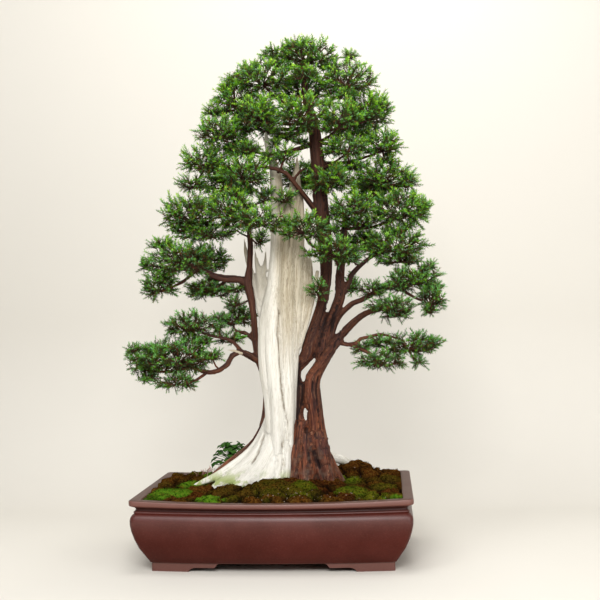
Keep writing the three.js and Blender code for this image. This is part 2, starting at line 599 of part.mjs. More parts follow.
// Cushions of brighter moss that sit in dips in the carpet, as [x, y, half width, half depth]
const CUSHIONS = {
  moss_cushion_round: { at: [47, -72], half: [21, 17, 10], color: 0x7d8a1e },
  moss_cushion_olive: { at: [-6, -66], half: [33, 19, 9], color: 0x6f6a1c },
  moss_cushion_left: { at: [-168, -92], half: [40, 28, 8], color: 0x4f8f22 },
  moss_cushion_right: { at: [128, -88], half: [28, 24, 8], color: 0x5d8a2a },
};
const CUSHION_ROOT = 5;
const cushion = ({ at: [x, y], half: [a, b, c] }, grow) => {
  const geometry = new THREE.SphereGeometry(1, 8, 6).rotateX(Math.PI / 2);
  const position = geometry.attributes.position;
  for (let i = 0; i < position.count; i++) {
    const up = position.getZ(i);
    const z = up > 0 ? up * (c + grow) : up * (CUSHION_ROOT + grow);
    position.setXYZ(i, position.getX(i) * (a + grow), position.getY(i) * (b + grow), z);
  }
  return toSolid(geometry.translate(x, y, mossHeight(x, y) - 1));
};

// The small fern-like plant behind the trunk on the left
const GOLDEN_TURN = Math.PI * (3 - Math.sqrt(5));
const ACCENT_AT = [-94, 66];
const ACCENT_LEAVES = 6;
const ACCENT_FOOT = 3;
const LEAF_THICKNESS = 0.9;
const accentRoute = (index) => {
  const angle = index * GOLDEN_TURN + 0.4;
  const reach = 9 + 20 * Math.sqrt(index / ACCENT_LEAVES);
  const rise = 52 - 4 * index;
  const [x, y] = ACCENT_AT;
  const foot = mossHeight(x, y) + 2;
  return [
    [x, y, foot, 1.1],
    [x + reach * 0.35 * Math.cos(angle), y + reach * 0.35 * Math.sin(angle), foot + rise * 0.7, 0.9],
    [x + reach * Math.cos(angle), y + reach * Math.sin(angle), foot + rise, 0.7],
  ];
};
const accentLeaf = (index) => {
  const leaf = new THREE.Shape();
  leaf.moveTo(-3, -1);
  leaf.quadraticCurveTo(-9, 1, -8, 6);
  leaf.quadraticCurveTo(-5, 7, -3, 6);
  leaf.quadraticCurveTo(-3, 12, 0, 14);
  leaf.quadraticCurveTo(3, 12, 3, 6);
  leaf.quadraticCurveTo(5, 7, 8, 6);
  leaf.quadraticCurveTo(9, 1, 3, -1);
  const options = { depth: LEAF_THICKNESS, bevelEnabled: false, curveSegments: 1 };
  const angle = index * GOLDEN_TURN + 0.4;
  const [x, y, z] = accentRoute(index)[2];
  const geometry = new THREE.ExtrudeGeometry(leaf, options).translate(0, -2, -LEAF_THICKNESS / 2);
  geometry.rotateX(0.45).rotateZ(angle - Math.PI / 2);
  return toSolid(geometry.translate(x, y, z - 0.2));
};
const accentFoot = (grow) => {
  const geometry = new THREE.CylinderGeometry(ACCENT_FOOT + grow, ACCENT_FOOT + grow, 14 + 2 * grow, 6);
  const [x, y] = ACCENT_AT;
  return toSolid(geometry.rotateX(Math.PI / 2).translate(x, y, mossHeight(x, y) - 3));
};
const accentPlant = () => {
  const pieces = [accentFoot(0)];
  for (let i = 0; i < ACCENT_LEAVES; i++) pieces.push(limb(accentRoute(i), 3), accentLeaf(i));
  return tidy(Manifold.union(pieces));
};

const cushionsGrown = Manifold.union(Object.values(CUSHIONS).map((item) => cushion(item, FIT)));
const bedded = Manifold.union([woodGrown, accentFoot(FIT), cushionsGrown]);
const planting = cavity(FIT).subtract(bedded);
const soil = tidy(mounded(MOSS_THICKNESS).intersect(planting).trimByPlane([0, 0, 1], SOIL_FLOOR));
const mossCarpet = tidy(mounded(0).subtract(mounded(MOSS_THICKNESS - FIT)).intersect(planting));

// The whole planting

const STONEWARE = finish(0x6a3f34, 0.62);
const SCREEN_PLASTIC = finish(0x1c1c1c, 0.5);
const SOIL = finish(0x4a3a2c, 0.95);
const MOSS = finish(0x6b4f1e, 0.95);
const BLEACHED_WOOD = finish(0xe6dfcc, 0.75);
const BARK = finish(0x6a3426, 0.8);
const FERN = finish(0x2f5a1c, 0.6);
const FOLIAGE = 0x3c7a36;

addPiece("pot", pot(), STONEWARE);
addPiece("drain_screen_left", drainScreen(-DRAIN_HOLE_X), SCREEN_PLASTIC);
addPiece("drain_screen_right", drainScreen(DRAIN_HOLE_X), SCREEN_PLASTIC);
addPiece("soil", soil, SOIL);
addPiece("moss_carpet", mossCarpet, MOSS);
for (const [name, item] of Object.entries(CUSHIONS)) {
  addPiece(name, tidy(cushion(item, 0)), finish(item.color, 0.95));
}
addPiece("accent_plant", accentPlant(), FERN);
addPiece("deadwood", deadwood, BLEACHED_WOOD);
addPiece("live_trunk", liveTrunk, BARK);
addPiece("live_vein", liveVein, BARK);
for (const { name, solid } of pads) addPiece(`foliage_${name}`, solid, finish(FOLIAGE, 0.7));

const box = new THREE.Box3().setFromObject(juniper);
juniper.position.set(-(box.min.x + box.max.x) / 2, -(box.min.y + box.max.y) / 2, -box.min.z);
juniper.updateMatrixWorld(true);

export default juniper;
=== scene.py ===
import math
import random

import bmesh
import bpy
from bpy.props import FloatProperty, FloatVectorProperty, IntProperty, PointerProperty
from mathutils import Matrix, Quaternion, Vector, kdtree, noise


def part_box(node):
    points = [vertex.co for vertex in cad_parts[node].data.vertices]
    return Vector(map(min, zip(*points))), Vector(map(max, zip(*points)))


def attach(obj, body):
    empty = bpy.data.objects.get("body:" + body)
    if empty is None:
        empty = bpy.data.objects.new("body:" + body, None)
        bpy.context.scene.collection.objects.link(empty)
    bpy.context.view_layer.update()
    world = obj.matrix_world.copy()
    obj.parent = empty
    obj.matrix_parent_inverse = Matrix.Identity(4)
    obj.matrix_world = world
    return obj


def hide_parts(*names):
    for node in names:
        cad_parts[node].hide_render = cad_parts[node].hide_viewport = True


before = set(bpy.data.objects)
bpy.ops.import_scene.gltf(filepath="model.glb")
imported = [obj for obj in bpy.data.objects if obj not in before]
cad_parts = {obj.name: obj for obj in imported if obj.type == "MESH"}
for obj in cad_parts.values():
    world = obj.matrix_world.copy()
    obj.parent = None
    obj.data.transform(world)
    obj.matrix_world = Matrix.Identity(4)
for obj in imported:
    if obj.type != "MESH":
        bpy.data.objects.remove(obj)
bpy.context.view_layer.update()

bl_info = {
    "name": "Juniper bonsai in its pot",
    "version": (1, 0, 0),
    "blender": (4, 5, 0),
    "location": "3D View > Sidebar > Juniper",
    "description": "Models a common juniper bonsai, its moss and its stoneware pot round the packed frame",
    "category": "Add Mesh",
}

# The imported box, and the middle of the pot, from which every place below is measured
POT_LOW, POT_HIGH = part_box("pot")
MM = 0.001
POT_MIDDLE = Vector(((POT_LOW.x + POT_HIGH.x) / 2, (POT_LOW.y + POT_HIGH.y) / 2, 0))
UP = Vector((0, 0, 1))
GOLDEN_TURN = math.pi * (3 - math.sqrt(5))


def spot(x, y, z):
    """A place given in millimetres from the middle of the pot's base."""
    return POT_MIDDLE + Vector((x, y, z)) * MM


# Pot, in millimetres: its outline's half sizes, and its section as (inset, height)
POT_WIDTH = 450
POT_DEPTH = 328
POT_HEIGHT = 117
LONG_SIDE_BOW = 14
RIM_SAG = 5
RIM_SAG_START = 90
RIM_WIDTH = 17
CORNER_RADIUS = 9
CORNER_TIGHTENING = 0.2
SMALLEST_CORNER = 3
FOOT_INSET = 30.4
FOOT_TOP = 15
FOOT_GAP_HEIGHT = 14.5
FOOT_WALL = 14
FOOT_STEP_HEIGHT = 6.7
FOOT_INNER_CURVE = 10
FOOT_STEP_END = 40
FOOT_OUTER_CURVE = 14
FOOT_RING_STEPS = (180, 130, 6)
FRONT_FOOT_GAP = 160
SIDE_FOOT_GAP = 84
CAVITY_FLOOR = 23
DRAIN_HOLE_X = 92
DRAIN_HOLE_RADIUS = 15
DRILL_LENGTH = 43
POT_BELLY = [(29, 14), (28.2, 14.5), (21.3, 25.8), (13.4, 38.4), (6.9, 54), (3, 67), (1.2, 77),
    (1, 84), (2, 89)]
POT_SHOULDER = [(4.2, 92.7), (6.2, 94.3), (7.4, 95), (7, 95.7), (6.5, 96.5), (6.5, 97.5), (7.3, 98.7)]
POT_NECK = [(8.8, 99.7), (9.5, 101.4), (9.2, 103.3), (7.2, 105.2), (4, 106.6), (1.6, 107.5)]
POT_LIP = [
    (0.4, 108.4), (0, 109.8), (0, 115), (0.5, 116.3), (1.8, 117), (15.4, 117), (16.6, 116.6), (17, 115.4),
]
POT_INSIDE = [(17, 60), (20, 44), (29, 30), (41, CAVITY_FLOOR)]

# Wood, as routes of (x, y, z, radius) in millimetres
THINNEST_WOOD = 0.4
LIVE_STEMS = {
    "main": [
        (35, 4, 100, 16), (38, 4, 145, 17), (41, 2, 190, 15), (37, 3, 218, 11), (34.5, 4, 236, 9.5),
        (36, 4, 258, 11), (37, 5, 280, 11), (32, 3, 298, 9), (33, 2, 312, 9), (44, 3, 326, 10.5),
        (53, 3, 338, 12.8), (56, 3, 350, 13), (59, 2, 362, 12.2), (65, 2, 380, 11), (71, 2, 398, 10.3),
        (78, 1, 420, 10), (84, 0, 452, 9.5), (87, -1, 485, 10),
        (86, -2, 530, 12), (80, -2, 600, 13), (78, 0, 650, 12.5), (74, 0, 692, 11), (70, 0, 735, 9),
        (57, 0, 782, 6.5), (57, 0, 842, 3),
    ],
    "right": [
        (71, 3, 100, 21), (71, 3, 135, 23), (68, 1, 185, 19), (66, -1, 212, 15.5), (64.5, -3, 236, 14),
        (61, -4, 262, 15), (59, -5, 280, 15), (61, -6, 298, 14), (68, -6, 310, 12.5), (76, -7, 321, 11.2),
        (83, -7, 332, 10.8), (93, -8, 346, 10),
        (108, -8, 366, 8.5), (126, -11, 385, 7), (145, -14, 401, 6), (164, -20, 410, 5.5),
            (189, -28, 415, 4),
    ],
    "inner": [
        (73, -4, 325, 7.5), (76, -2, 337, 9.2), (78, -2, 354, 9.6), (81.5, -2, 371, 9), (89, -2, 390, 8.5),
        (101, -2, 413, 8.5), (110, -2, 434, 8.5), (110, -2, 455, 7.5), (111, -1, 478, 7), (115, 0, 507, 6),
        (118, 2, 541, 6), (120, 1, 562, 5), (122, -4, 582, 3),
    ],
    "inner limb": [
        (112, -2, 438, 6), (119, -2, 445, 5.5), (126, -2, 458, 5), (130, -2, 471, 5), (145, -1, 487, 4.5),
        (158, 0, 498, 4), (190, -4, 518, 3),
    ],
    "middle limb": [
        (84, -4, 338, 5), (92, -3, 356, 5), (97, 0, 377, 4.4), (106, 2, 399, 4.5), (118, 2, 413, 4.7),
        (130, 3, 423, 4.6), (147, 4, 429, 4.5), (163, 4, 437, 4.5), (180, 4, 448, 4), (204, 4, 454, 3.5),
        (233, 4, 463, 2.6),
    ],
    "low limb": [
        (98, -8, 360, 5), (108, -8, 357, 4.4), (122, -8, 353, 4), (136, -8, 355, 3.8), (144, -6, 363, 3.5),
        (160, -4, 366, 3.4), (180, -2, 370, 3.2), (214, 0, 360, 2.6),
    ],
    "low twig": [(124, -8, 354, 3.2), (150, -20, 343, 3), (172, -30, 332, 2.4)],
    "crossing limb": [
        (80, -6, 570, 5), (62, -16, 596, 5), (44, -24, 620, 4.5), (24, -28, 645, 4.2), (8, -32, 652, 4),
        (-22, -38, 656, 3.5), (-42, -48, 654, 2.5),
    ],
    "crossing fork": [(36, -25, 634, 3), (48, -30, 648, 2.6), (58, -36, 652, 2)],
    "left flare": [
        (40, -4, 225, 11), (36, -7, 190, 13), (31, -12, 158, 14), (26, -18, 130, 12), (22, -23, 112, 9),
    ],
    "front flare": [(50, -8, 205, 12), (50, -15, 165, 15), (48, -26, 130, 13), (45, -36, 110, 9)],
    "right flare": [(70, -8, 195, 15), (75, -10, 160, 17), (81, -14, 134, 15), (87, -18, 112, 11)],
    "right root": [(78, 6, 160, 16), (94, 11, 134, 11), (112, 17, 112, 6)],
    "rear root": [(60, 14, 150, 16), (56, 34, 130, 12), (50, 50, 110, 7)],
}
LIVE_VEIN = {
    "stem": [
        (-120, -6, 131, 2.5), (-92, -2, 153, 3.8), (-68, 2, 170, 4.2), (-50, 4, 184, 4.5), (-34, 7, 205, 5),
        (-22, 14, 240, 7), (-20, 18, 290, 7.5), (-29, 14, 322, 8), (-37, 7, 360, 6.5), (-39, 3, 400, 6),
        (-43, 2, 435, 7), (-49, 3, 462, 8), (-45, 3, 488, 5.5), (-43, 3, 540, 5), (-54, 5, 598, 4.5),
        (-80, 4, 640, 3.5), (-110, 0, 668, 2.5),
    ],
    "left limb": [
        (-48, 3, 458, 6.5), (-62, 3, 468, 7), (-88, 4, 470, 6.5), (-105, 3, 475, 5.5), (-127, -2, 486, 4.5),
        (-150, -7, 498, 3),
    ],
    "low limb": [
        (-31, 8, 327, 7), (-51, 0, 339, 6), (-63, -5, 345, 5.5), (-76, -8, 338, 5), (-84, -10, 323, 4.5),
        (-97, -12, 314, 4.2), (-116, -14, 310, 4), (-140, -16, 317, 3.4), (-160, -18, 331, 2.5),
    ],
    "low offshoot": [(-62, -5, 346, 3.8), (-75, -6, 362, 3), (-97, -8, 370, 2.8), (-118, -10, 375, 2.6),
                     (-142, -10, 385, 2.2)],
    "inner twig": [(-41, 6, 366, 4.5), (-56, 10, 377, 4), (-72, 16, 379, 3.4), (-78, 28, 392, 2.4)],
    "front twig": [(-43, 2, 548, 4.5), (-46, -18, 572, 4), (-56, -42, 586, 3), (-64, -58, 592, 2.4)],
}
DEADWOOD = {
    "left column": [
        (-11, -4, 118, 15), (-10, -8, 165, 15), (-8, -9, 210, 14), (-8, -8, 260, 14.5), (-13, -8, 310, 17),
        (-14, -7, 360, 17.5), (-11, -6, 400, 17), (-4, -6, 440, 14.5), (1, -5, 480, 13), (4, -4, 520, 12.5),
        (5, -3, 560, 12), (5, -2, 600, 11.5), (4, -1, 640, 10.5), (1, 0, 662, 8), (-5, 1, 682, 6.5),
        (-10, 1, 700, 5), (-12, 1, 715, 3), (-13, 1, 726, 1),
    ],
    "front column": [
        (1, -12, 118, 13), (0, -17, 160, 13), (1, -17, 200, 13), (1, -16, 250, 13), (-2, -16, 300, 15),
        (-4, -16, 350, 15), (-4, -15, 400, 13), (-1, -12, 450, 9), (1, -8, 490, 6),
    ],
    "middle column": [
        (17, -10, 150, 9), (18, -12, 200, 10), (19, -13, 240, 11), (19, -14, 280, 12), (18, -14, 340, 13),
        (19, -13, 400, 14), (20, -11, 440, 14.5), (21, -9, 480, 14.5), (24, -7, 520, 14), (28, -5, 560, 14),
        (33, -3, 600, 13), (37, 0, 630, 9.5), (40, 1, 655, 5), (41, 2, 684, 1),
    ],
    "right column": [
        (18, -2, 180, 9), (21, -4, 240, 10), (24, -6, 290, 10.5), (27, -7, 330, 11), (30, -8, 370, 11.5),
        (34, -6, 420, 12.5), (37, -5, 470, 12.5), (39, -3, 520, 12), (41, -1, 560, 11), (42, 0, 600, 9),
        (42, 1, 630, 5), (41, 2, 656, 2),
    ],
    "rear left column": [
        (-10, 12, 116, 16), (-6, 12, 200, 14), (-8, 12, 300, 16), (-10, 10, 380, 16), (-4, 9, 450, 12),
        (3, 6, 520, 9), (5, 4, 600, 6),
    ],
    "rear middle column": [
        (10, 14, 116, 15), (8, 13, 200, 14), (10, 13, 300, 15), (12, 13, 380, 15), (14, 11, 450, 13),
        (18, 9, 520, 10), (22, 5, 570, 6),
    ],
    "rear right column": [
        (22, 6, 130, 10), (20, 8, 200, 11), (24, 10, 300, 12), (28, 10, 380, 13), (36, 10, 430, 13),
        (38, 8, 480, 11), (40, 5, 540, 8), (42, 3, 600, 5),
    ],
    "wedge": [
        (35, -4, 362, 8), (40, -3, 395, 10), (45, -2, 435, 11.5), (48, -1, 475, 11), (50, 0, 498, 7),
        (51, 1, 516, 2),
    ],
    "outer wedge": [(48, 0, 400, 6), (54, 1, 432, 8), (57, 2, 465, 7.5), (59, 3, 488, 5), (60, 4, 508, 1)],
    "bare edge": [
        (41, -9, 350, 2.8), (47, -10, 376, 5), (54, -10, 402, 5.5), (62, -9, 430, 5), (68, -8, 455, 4.2),
        (73, -7, 482, 3),
    ],
    "outer jin": [
        (-20, 4, 396, 9), (-29, 8, 430, 8.5), (-36, 12, 455, 6.5), (-44, 15, 482, 5), (-51, 16, 510, 4),
        (-55, 17, 540, 1),
    ],
    "inner jin": [
        (-16, 2, 405, 9), (-24, 5, 440, 7.5), (-28, 8, 470, 6.5), (-33, 9, 498, 4), (-37, 10, 524, 1),
    ],
    "short jin": [(-24, 6, 440, 6), (-21, 7, 474, 5), (-18, 8, 502, 3), (-17, 8, 524, 1)],
    "upper root": [
        (-15, 4, 234, 7), (-24, 3, 208, 8), (-40, 0, 181, 8.5), (-58, -3, 163, 9.5), (-80, -6, 148, 9),
        (-104, -10, 134, 7.5), (-130, -15, 124, 5), (-150, -20, 114, 3),
    ],
    "middle root": [
        (-12, -4, 214, 12), (-22, -8, 186, 15), (-38, -12, 161, 16), (-60, -16, 142, 13.5),
            (-86, -20, 127, 10.5),
        (-112, -24, 115, 6),
    ],
    "lower root": [
        (-8, -10, 200, 14), (-16, -16, 168, 18), (-32, -24, 143, 17), (-54, -30, 125, 13),
        (-76, -35, 113, 9),
    ],
    "left front root": [(-5, -12, 180, 14), (-10, -22, 150, 16), (-18, -30, 128, 15), (-30, -36, 114, 12)],
    "front root": [(4, -14, 185, 12), (4, -24, 153, 12), (1, -33, 130, 10), (-3, -40, 112, 6)],
    "right front root": [(13, -12, 190, 10), (13, -19, 160, 11), (12, -26, 134, 10), (9, -33, 112, 6)],
    "rear root": [
        (4, 14, 194, 12), (38, 40, 174, 11), (72, 62, 158, 10), (104, 84, 147, 8), (128, 102, 133, 4),
    ],
    "left rear root": [(-10, 14, 190, 12), (-26, 26, 160, 12), (-44, 40, 134, 9), (-60, 50, 116, 5)],
    "stub": [(-58, -6, 341, 3.8), (-72, -9, 347, 2.8), (-86, -12, 348, 1)],
    "knot": [(82, -8, 332, 5), (86, -14, 344, 4), (88, -18, 350, 1.6)],
}
# Long cracks on the deadwood's front, as routes of (x, z) with each one's half width
DEADWOOD_CRACKS = [
    (1.5, [(8, 560), (7, 520), (6, 480), (5, 450), (6, 420), (6, 400), (4, 375), (7, 330), (9, 300),
        (12, 262),
           (16, 232), (20, 205), (22, 190)]),
    (1.3, [(33, 500), (36, 470), (35, 430), (37, 395), (38, 362), (35, 330)]),
    (1.1, [(22, 470), (21, 430), (23, 395), (20, 360)]),
    (1.1, [(28, 600), (29, 560), (28, 520)]),
    (1.2, [(4, 640), (5, 615), (4, 590)]),
    (2.8, [(-23, 208), (-28, 188), (-34, 172), (-44, 154)]),
    (1.6, [(9, 190), (10, 165), (8, 140)]),
    (2.0, [(41, 366), (48, 392), (56, 416), (62, 440)]),
]
# Seams on the live trunk's front, between its stems and round its slit, carved in and given painted shade, in
# the same way
BARK_SEAMS = [
    (5.0, [(89, 424), (82, 392), (74, 366), (69, 346), (65, 334)]),
    (3.2, [(106, 420), (99, 396), (95, 376)]),
    (2.4, [(113, 394), (106, 370), (99, 350)]),
    (3.2, [(39, 322), (37, 286), (34, 244), (31, 210), (28, 187)]),
    (3.4, [(46, 298), (44, 275), (41, 251)]),
    (3.0, [(62, 290), (55, 262), (51, 236)]),
    (3.6, [(50, 212), (49, 194), (52, 174), (57, 156)]),
    (4.4, [(62, 176), (66, 160), (70, 148)]),
    (1.8, [(72, 300), (68, 278), (69, 244), (74, 210)]),
    (2.0, [(84, 220), (88, 190), (94, 160)]),
]

# Pads of foliage in millimetres: the middle and half sizes of each, and where its twig leaves the wood.
# A pad with no twig sits on the end of a limb.
PADS = {
    "apex_top": ((60, 0, 850), (62, 50, 33), None),
    "apex_left": ((-15, -12, 813), (58, 45, 37), (60, 0, 760)),
    "apex_right": ((129, -12, 802), (56, 45, 38), (59, 0, 765)),
    "apex_rear": ((48, 58, 808), (64, 38, 36), (57, 0, 780)),
    "crown_left": ((-64, 12, 778), (52, 46, 38), (72, 0, 728)),
    "crown_left_low": ((-92, -10, 722), (51, 45, 34), (76, 0, 700)),
    "crown_left_front": ((-20, -54, 745), (46, 34, 36), (70, 0, 733)),
    "crown_front": ((52, -68, 740), (54, 34, 40), (74, 0, 715)),
    "crown_right_front": ((119, -60, 732), (46, 34, 36), (77, 0, 700)),
    "crown_right": ((164, 5, 752), (46, 48, 44), (73, 0, 722)),
    "crown_right_low": ((187, -5, 692), (40, 45, 31), (79, 0, 665)),
    "crown_mid_right": ((127, -40, 684), (46, 34, 27), (79, 0, 655)),
    "crown_rear_left": ((-38, 88, 754), (58, 38, 38), (71, 0, 728)),
    "crown_rear_right": ((130, 88, 742), (62, 38, 38), (76, 0, 700)),
    "left_5": ((-118, 0, 674), (50, 46, 32), None),
    "left_5_front": ((-44, -52, 645), (52, 38, 38), None),
    "middle_tuft": ((21, -36, 674), (27, 24, 23), (10, -31, 646)),
    "rear_left": ((-96, 92, 648), (62, 40, 36), (-58, 5, 606)),
    "left_4": ((-146, 5, 586), (58, 52, 41), (-50, 5, 582)),
    "left_4_front": ((-68, -63, 588), (52, 38, 38), None),
    "left_4_low": ((-12, -88, 563), (54, 34, 30), (-46, -18, 572)),
    "front_of_trunk": ((54, -78, 550), (53, 34, 30), (84, -2, 520)),
    "left_3": ((-160, -8, 504), (66, 52, 38), None),
    "left_3_tip": ((-202, 0, 463), (36, 40, 36), (-130, -4, 492)),
    "left_3_rear": ((-138, 88, 507), (60, 40, 32), (-96, 2, 470)),
    "left_3_low": ((-123, 42, 451), (48, 34, 21), (-84, 3, 470)),
    "left_2": ((-146, -10, 392), (54, 44, 28), None),
    "left_2_inner": ((-72, 36, 403), (37, 30, 30), None),
    "left_1": ((-170, -18, 338), (74, 58, 34), None),
    "left_1_tip": ((-233, 5, 328), (34, 40, 34), (-142, -16, 322)),
    "left_1_low": ((-166, -32, 297), (48, 36, 18), (-116, -12, 313)),
    "right_5": ((190, 5, 638), (59, 48, 32), (120, -2, 574)),
    "right_5_front": ((99, -48, 632), (48, 32, 27), (79, -1, 612)),
    "rear_middle": ((76, 98, 650), (58, 38, 34), (79, -1, 620)),
    "rear_right": ((168, 92, 624), (60, 42, 36), (118, 1, 568)),
    "right_4": ((214, 0, 583), (61, 52, 38), (115, 3, 552)),
    "right_4_inner": ((136, -42, 584), (44, 34, 32), (120, -2, 574)),
    "right_3": ((203, -5, 522), (65, 50, 32), None),
    "right_3_front": ((105, -64, 510), (57, 36, 28), (112, 2, 474)),
    "right_3_rear": ((144, 90, 531), (60, 42, 30), (112, 3, 505)),
    "front_tuft": ((75, -46, 446), (25, 22, 22), (83, -1, 432)),
    "right_2": ((236, 5, 464), (54, 50, 27), None),
    "right_2_inner": ((164, -8, 446), (32, 30, 19), None),
    "right_2_tip": ((264, -14, 430), (30, 34, 30), (204, 5, 453)),
    "right_2_low": ((196, -36, 418), (48, 36, 21), None),
    "right_1": ((224, 0, 352), (66, 44, 26), None),
    "right_1_low": ((178, -33, 327), (52, 36, 22), None),
}

# Thinner foliage that fills in beside some pads, as the middle and half sizes of each
PAD_FILLS = {
    "apex_top": [((58, -36, 810), (36, 22, 22)), ((50, -4, 869), (34, 26, 12))],
    "apex_left": [
        ((12, 0, 856), (40, 34, 16)), ((-38, 0, 832), (24, 28, 14)), ((11, -4, 838), (10, 12, 9)),
    ],
    "apex_right": [
        ((126, -34, 772), (30, 22, 18)), ((104, 0, 831), (24, 26, 16)), ((134, 0, 845), (12, 16, 10)),
    ],
    "crown_left": [
        ((-66, 0, 812), (26, 28, 14)), ((-104, 0, 758), (22, 26, 14)), ((2, -8, 782), (18, 16, 10)),
        ((-81, 0, 799), (10, 14, 10)),
    ],
    "crown_left_low": [((-48, -8, 690), (42, 34, 18))],
    "crown_front": [
        ((24, -8, 714), (34, 28, 20)), ((96, -16, 765), (20, 16, 9)), ((50, -8, 699), (12, 12, 8)),
    ],
    "crown_right": [((188, 0, 758), (18, 26, 20))],
    "crown_right_low": [((194, 0, 667), (32, 28, 12))],
    "crown_mid_right": [((135, -4, 658), (46, 36, 16)), ((97, -4, 683), (14, 14, 12))],
    "left_5": [((-140, 0, 634), (34, 30, 20)), ((-68, 40, 700), (40, 34, 20))],
    "left_5_front": [((-14, -20, 607), (24, 22, 22)), ((-40, -30, 616), (12, 14, 10))],
    "middle_tuft": [
        ((22, -36, 602), (25, 20, 20)), ((-8, -26, 673), (16, 14, 14)), ((6, -18, 698), (14, 12, 9)),
    ],
    "left_4": [
        ((-112, -14, 548), (60, 40, 16)), ((-150, 20, 560), (44, 40, 16)), ((-72, -14, 562), (30, 26, 14)),
    ],
    "left_3": [((-194, 0, 532), (30, 28, 16)), ((-224, 0, 496), (14, 26, 20))],
    "left_3_rear": [
        ((-70, 10, 452), (26, 24, 16)), ((-146, 52, 512), (34, 22, 18)), ((-29, 34, 538), (17, 20, 24)),
    ],
    "left_3_low": [((-124, 20, 458), (40, 32, 20))],
    "left_2": [((-98, 8, 402), (22, 24, 14)), ((-99, 0, 386), (12, 14, 9)), ((-121, -6, 362), (10, 14, 8))],
    "left_2_inner": [((-82, 14, 366), (34, 26, 17)), ((-74, 10, 427), (20, 22, 12))],
    "left_1": [
        ((-203, 0, 354), (40, 34, 15)), ((-110, -8, 338), (26, 24, 17)), ((-146, -4, 366), (30, 26, 12)),
    ],
    "left_1_tip": [((-248, 0, 350), (18, 24, 12)), ((-220, -8, 302), (26, 26, 13))],
    "right_5": [((230, 0, 627), (24, 28, 20))],
    "right_4": [
        ((150, -5, 561), (48, 36, 15)), ((254, 0, 584), (20, 28, 18)), ((228, 0, 550), (12, 16, 10)),
    ],
    "right_4_inner": [((104, 16, 580), (20, 18, 34)), ((103, 6, 550), (10, 12, 14))],
    "right_3": [((210, 0, 497), (54, 36, 14)), ((206, 0, 548), (28, 26, 12))],
    "right_3_front": [((134, -8, 498), (20, 22, 12))],
    "right_2": [((130, 8, 452), (20, 20, 28)), ((205, -10, 450), (34, 30, 15))],
    "right_2_tip": [
        ((270, -5, 448), (14, 22, 14)), ((262, -5, 408), (18, 24, 12)), ((262, 0, 483), (14, 18, 9)),
    ],
    "right_2_low": [((204, -22, 404), (38, 28, 13))],
    "right_1": [
        ((146, -10, 347), (24, 22, 17)), ((172, -4, 358), (24, 24, 12)), ((266, 0, 352), (14, 22, 14)),
        ((240, -8, 322), (16, 16, 7)),
    ],
    "rear_middle": [((41, 70, 655), (52, 30, 30))],
    "crown_rear_left": [((-38, 56, 764), (34, 22, 22))],
    "crown_rear_right": [((130, 54, 748), (34, 22, 22))],
    "rear_left": [((-96, 52, 650), (34, 22, 20))],
    "rear_right": [((168, 54, 628), (34, 22, 20))],
    "right_3_rear": [((150, 52, 536), (34, 22, 18))],
}

# Moss, in millimetres: the mounds as (x, y, height, half width, half depth), and its cushions
MOSS_EDGE_HEIGHT = 113
MOSS_UNDERSIDE = 98
MOUNDS = [(-12, -50, 6, 62, 26), (15, 5, 16, 105, 80), (130, 95, 24, 55, 42), (-120, 80, 10, 60, 45),
    (-175, 20, 5, 35, 40)]
CUSHIONS = {
    "moss_cushion_round": (47, -72, 21, 17, 9, 0.6),
    "moss_cushion_olive": (-6, -66, 33, 19, 6, 0.42),
    "moss_cushion_left": (-168, -92, 40, 28, 8, 0.95),
    "moss_cushion_right": (128, -88, 28, 24, 8, 0.66),
}
GRIT_GRAINS = 100
MOSS_STEPS = (170, 130)

# The accent plant and the seedlings, in millimetres
ACCENT_AT = (-90, 66)
FERN_LEAVES = 70
FERN_SPREAD = 36
FERN_HEIGHT = 54
FERN_DROOP = 38
SEEDLINGS_AT = (-136, 70)
SEEDLINGS = 26

# Patches of one kind of moss as (x, y, half width, half depth, kind). A kind goes from 0, rust, over olive
# to 1, bright green.
MOSS_PATCHES = [
    (-186, -122, 26, 24, 0.97), (-172, -66, 24, 30, 0.95), (-146, -10, 28, 26, 0.92),
        (-98, -146, 27, 18, 0.95),
    (-140, -112, 26, 26, 0.12), (-165, 61, 44, 34, 0.25), (-57, -80, 50, 42, 0.4), (3, -98, 36, 26, 0.5),
    (117, -126, 34, 24, 0.1), (160, -126, 28, 26, 0.62), (194, -146, 18, 16, 0.95), (112, 12, 26, 22, 0.7),
    (150, 90, 66, 44, 0.22), (75, -30, 30, 20, 0.15), (20, -140, 40, 14, 0.3), (-110, 60, 30, 26, 0.9),
]


# Materials

class Value:
    """A number or colour that varies over a surface. Maths on it is written as on plain numbers."""

    def __init__(self, finish, socket):
        self.finish = finish
        self.socket = socket

    def __add__(self, other):
        return self.finish.maths("ADD", self, other)

    def __sub__(self, other):
        return self.finish.maths("SUBTRACT", self, other)

    def __rsub__(self, other):
        return self.finish.maths("SUBTRACT", other, self)

    def __mul__(self, other):
        return self.finish.maths("MULTIPLY", self, other)

    def __abs__(self):
        return self.finish.maths("ABSOLUTE", self, 0)

    __radd__ = __add__
    __rmul__ = __mul__


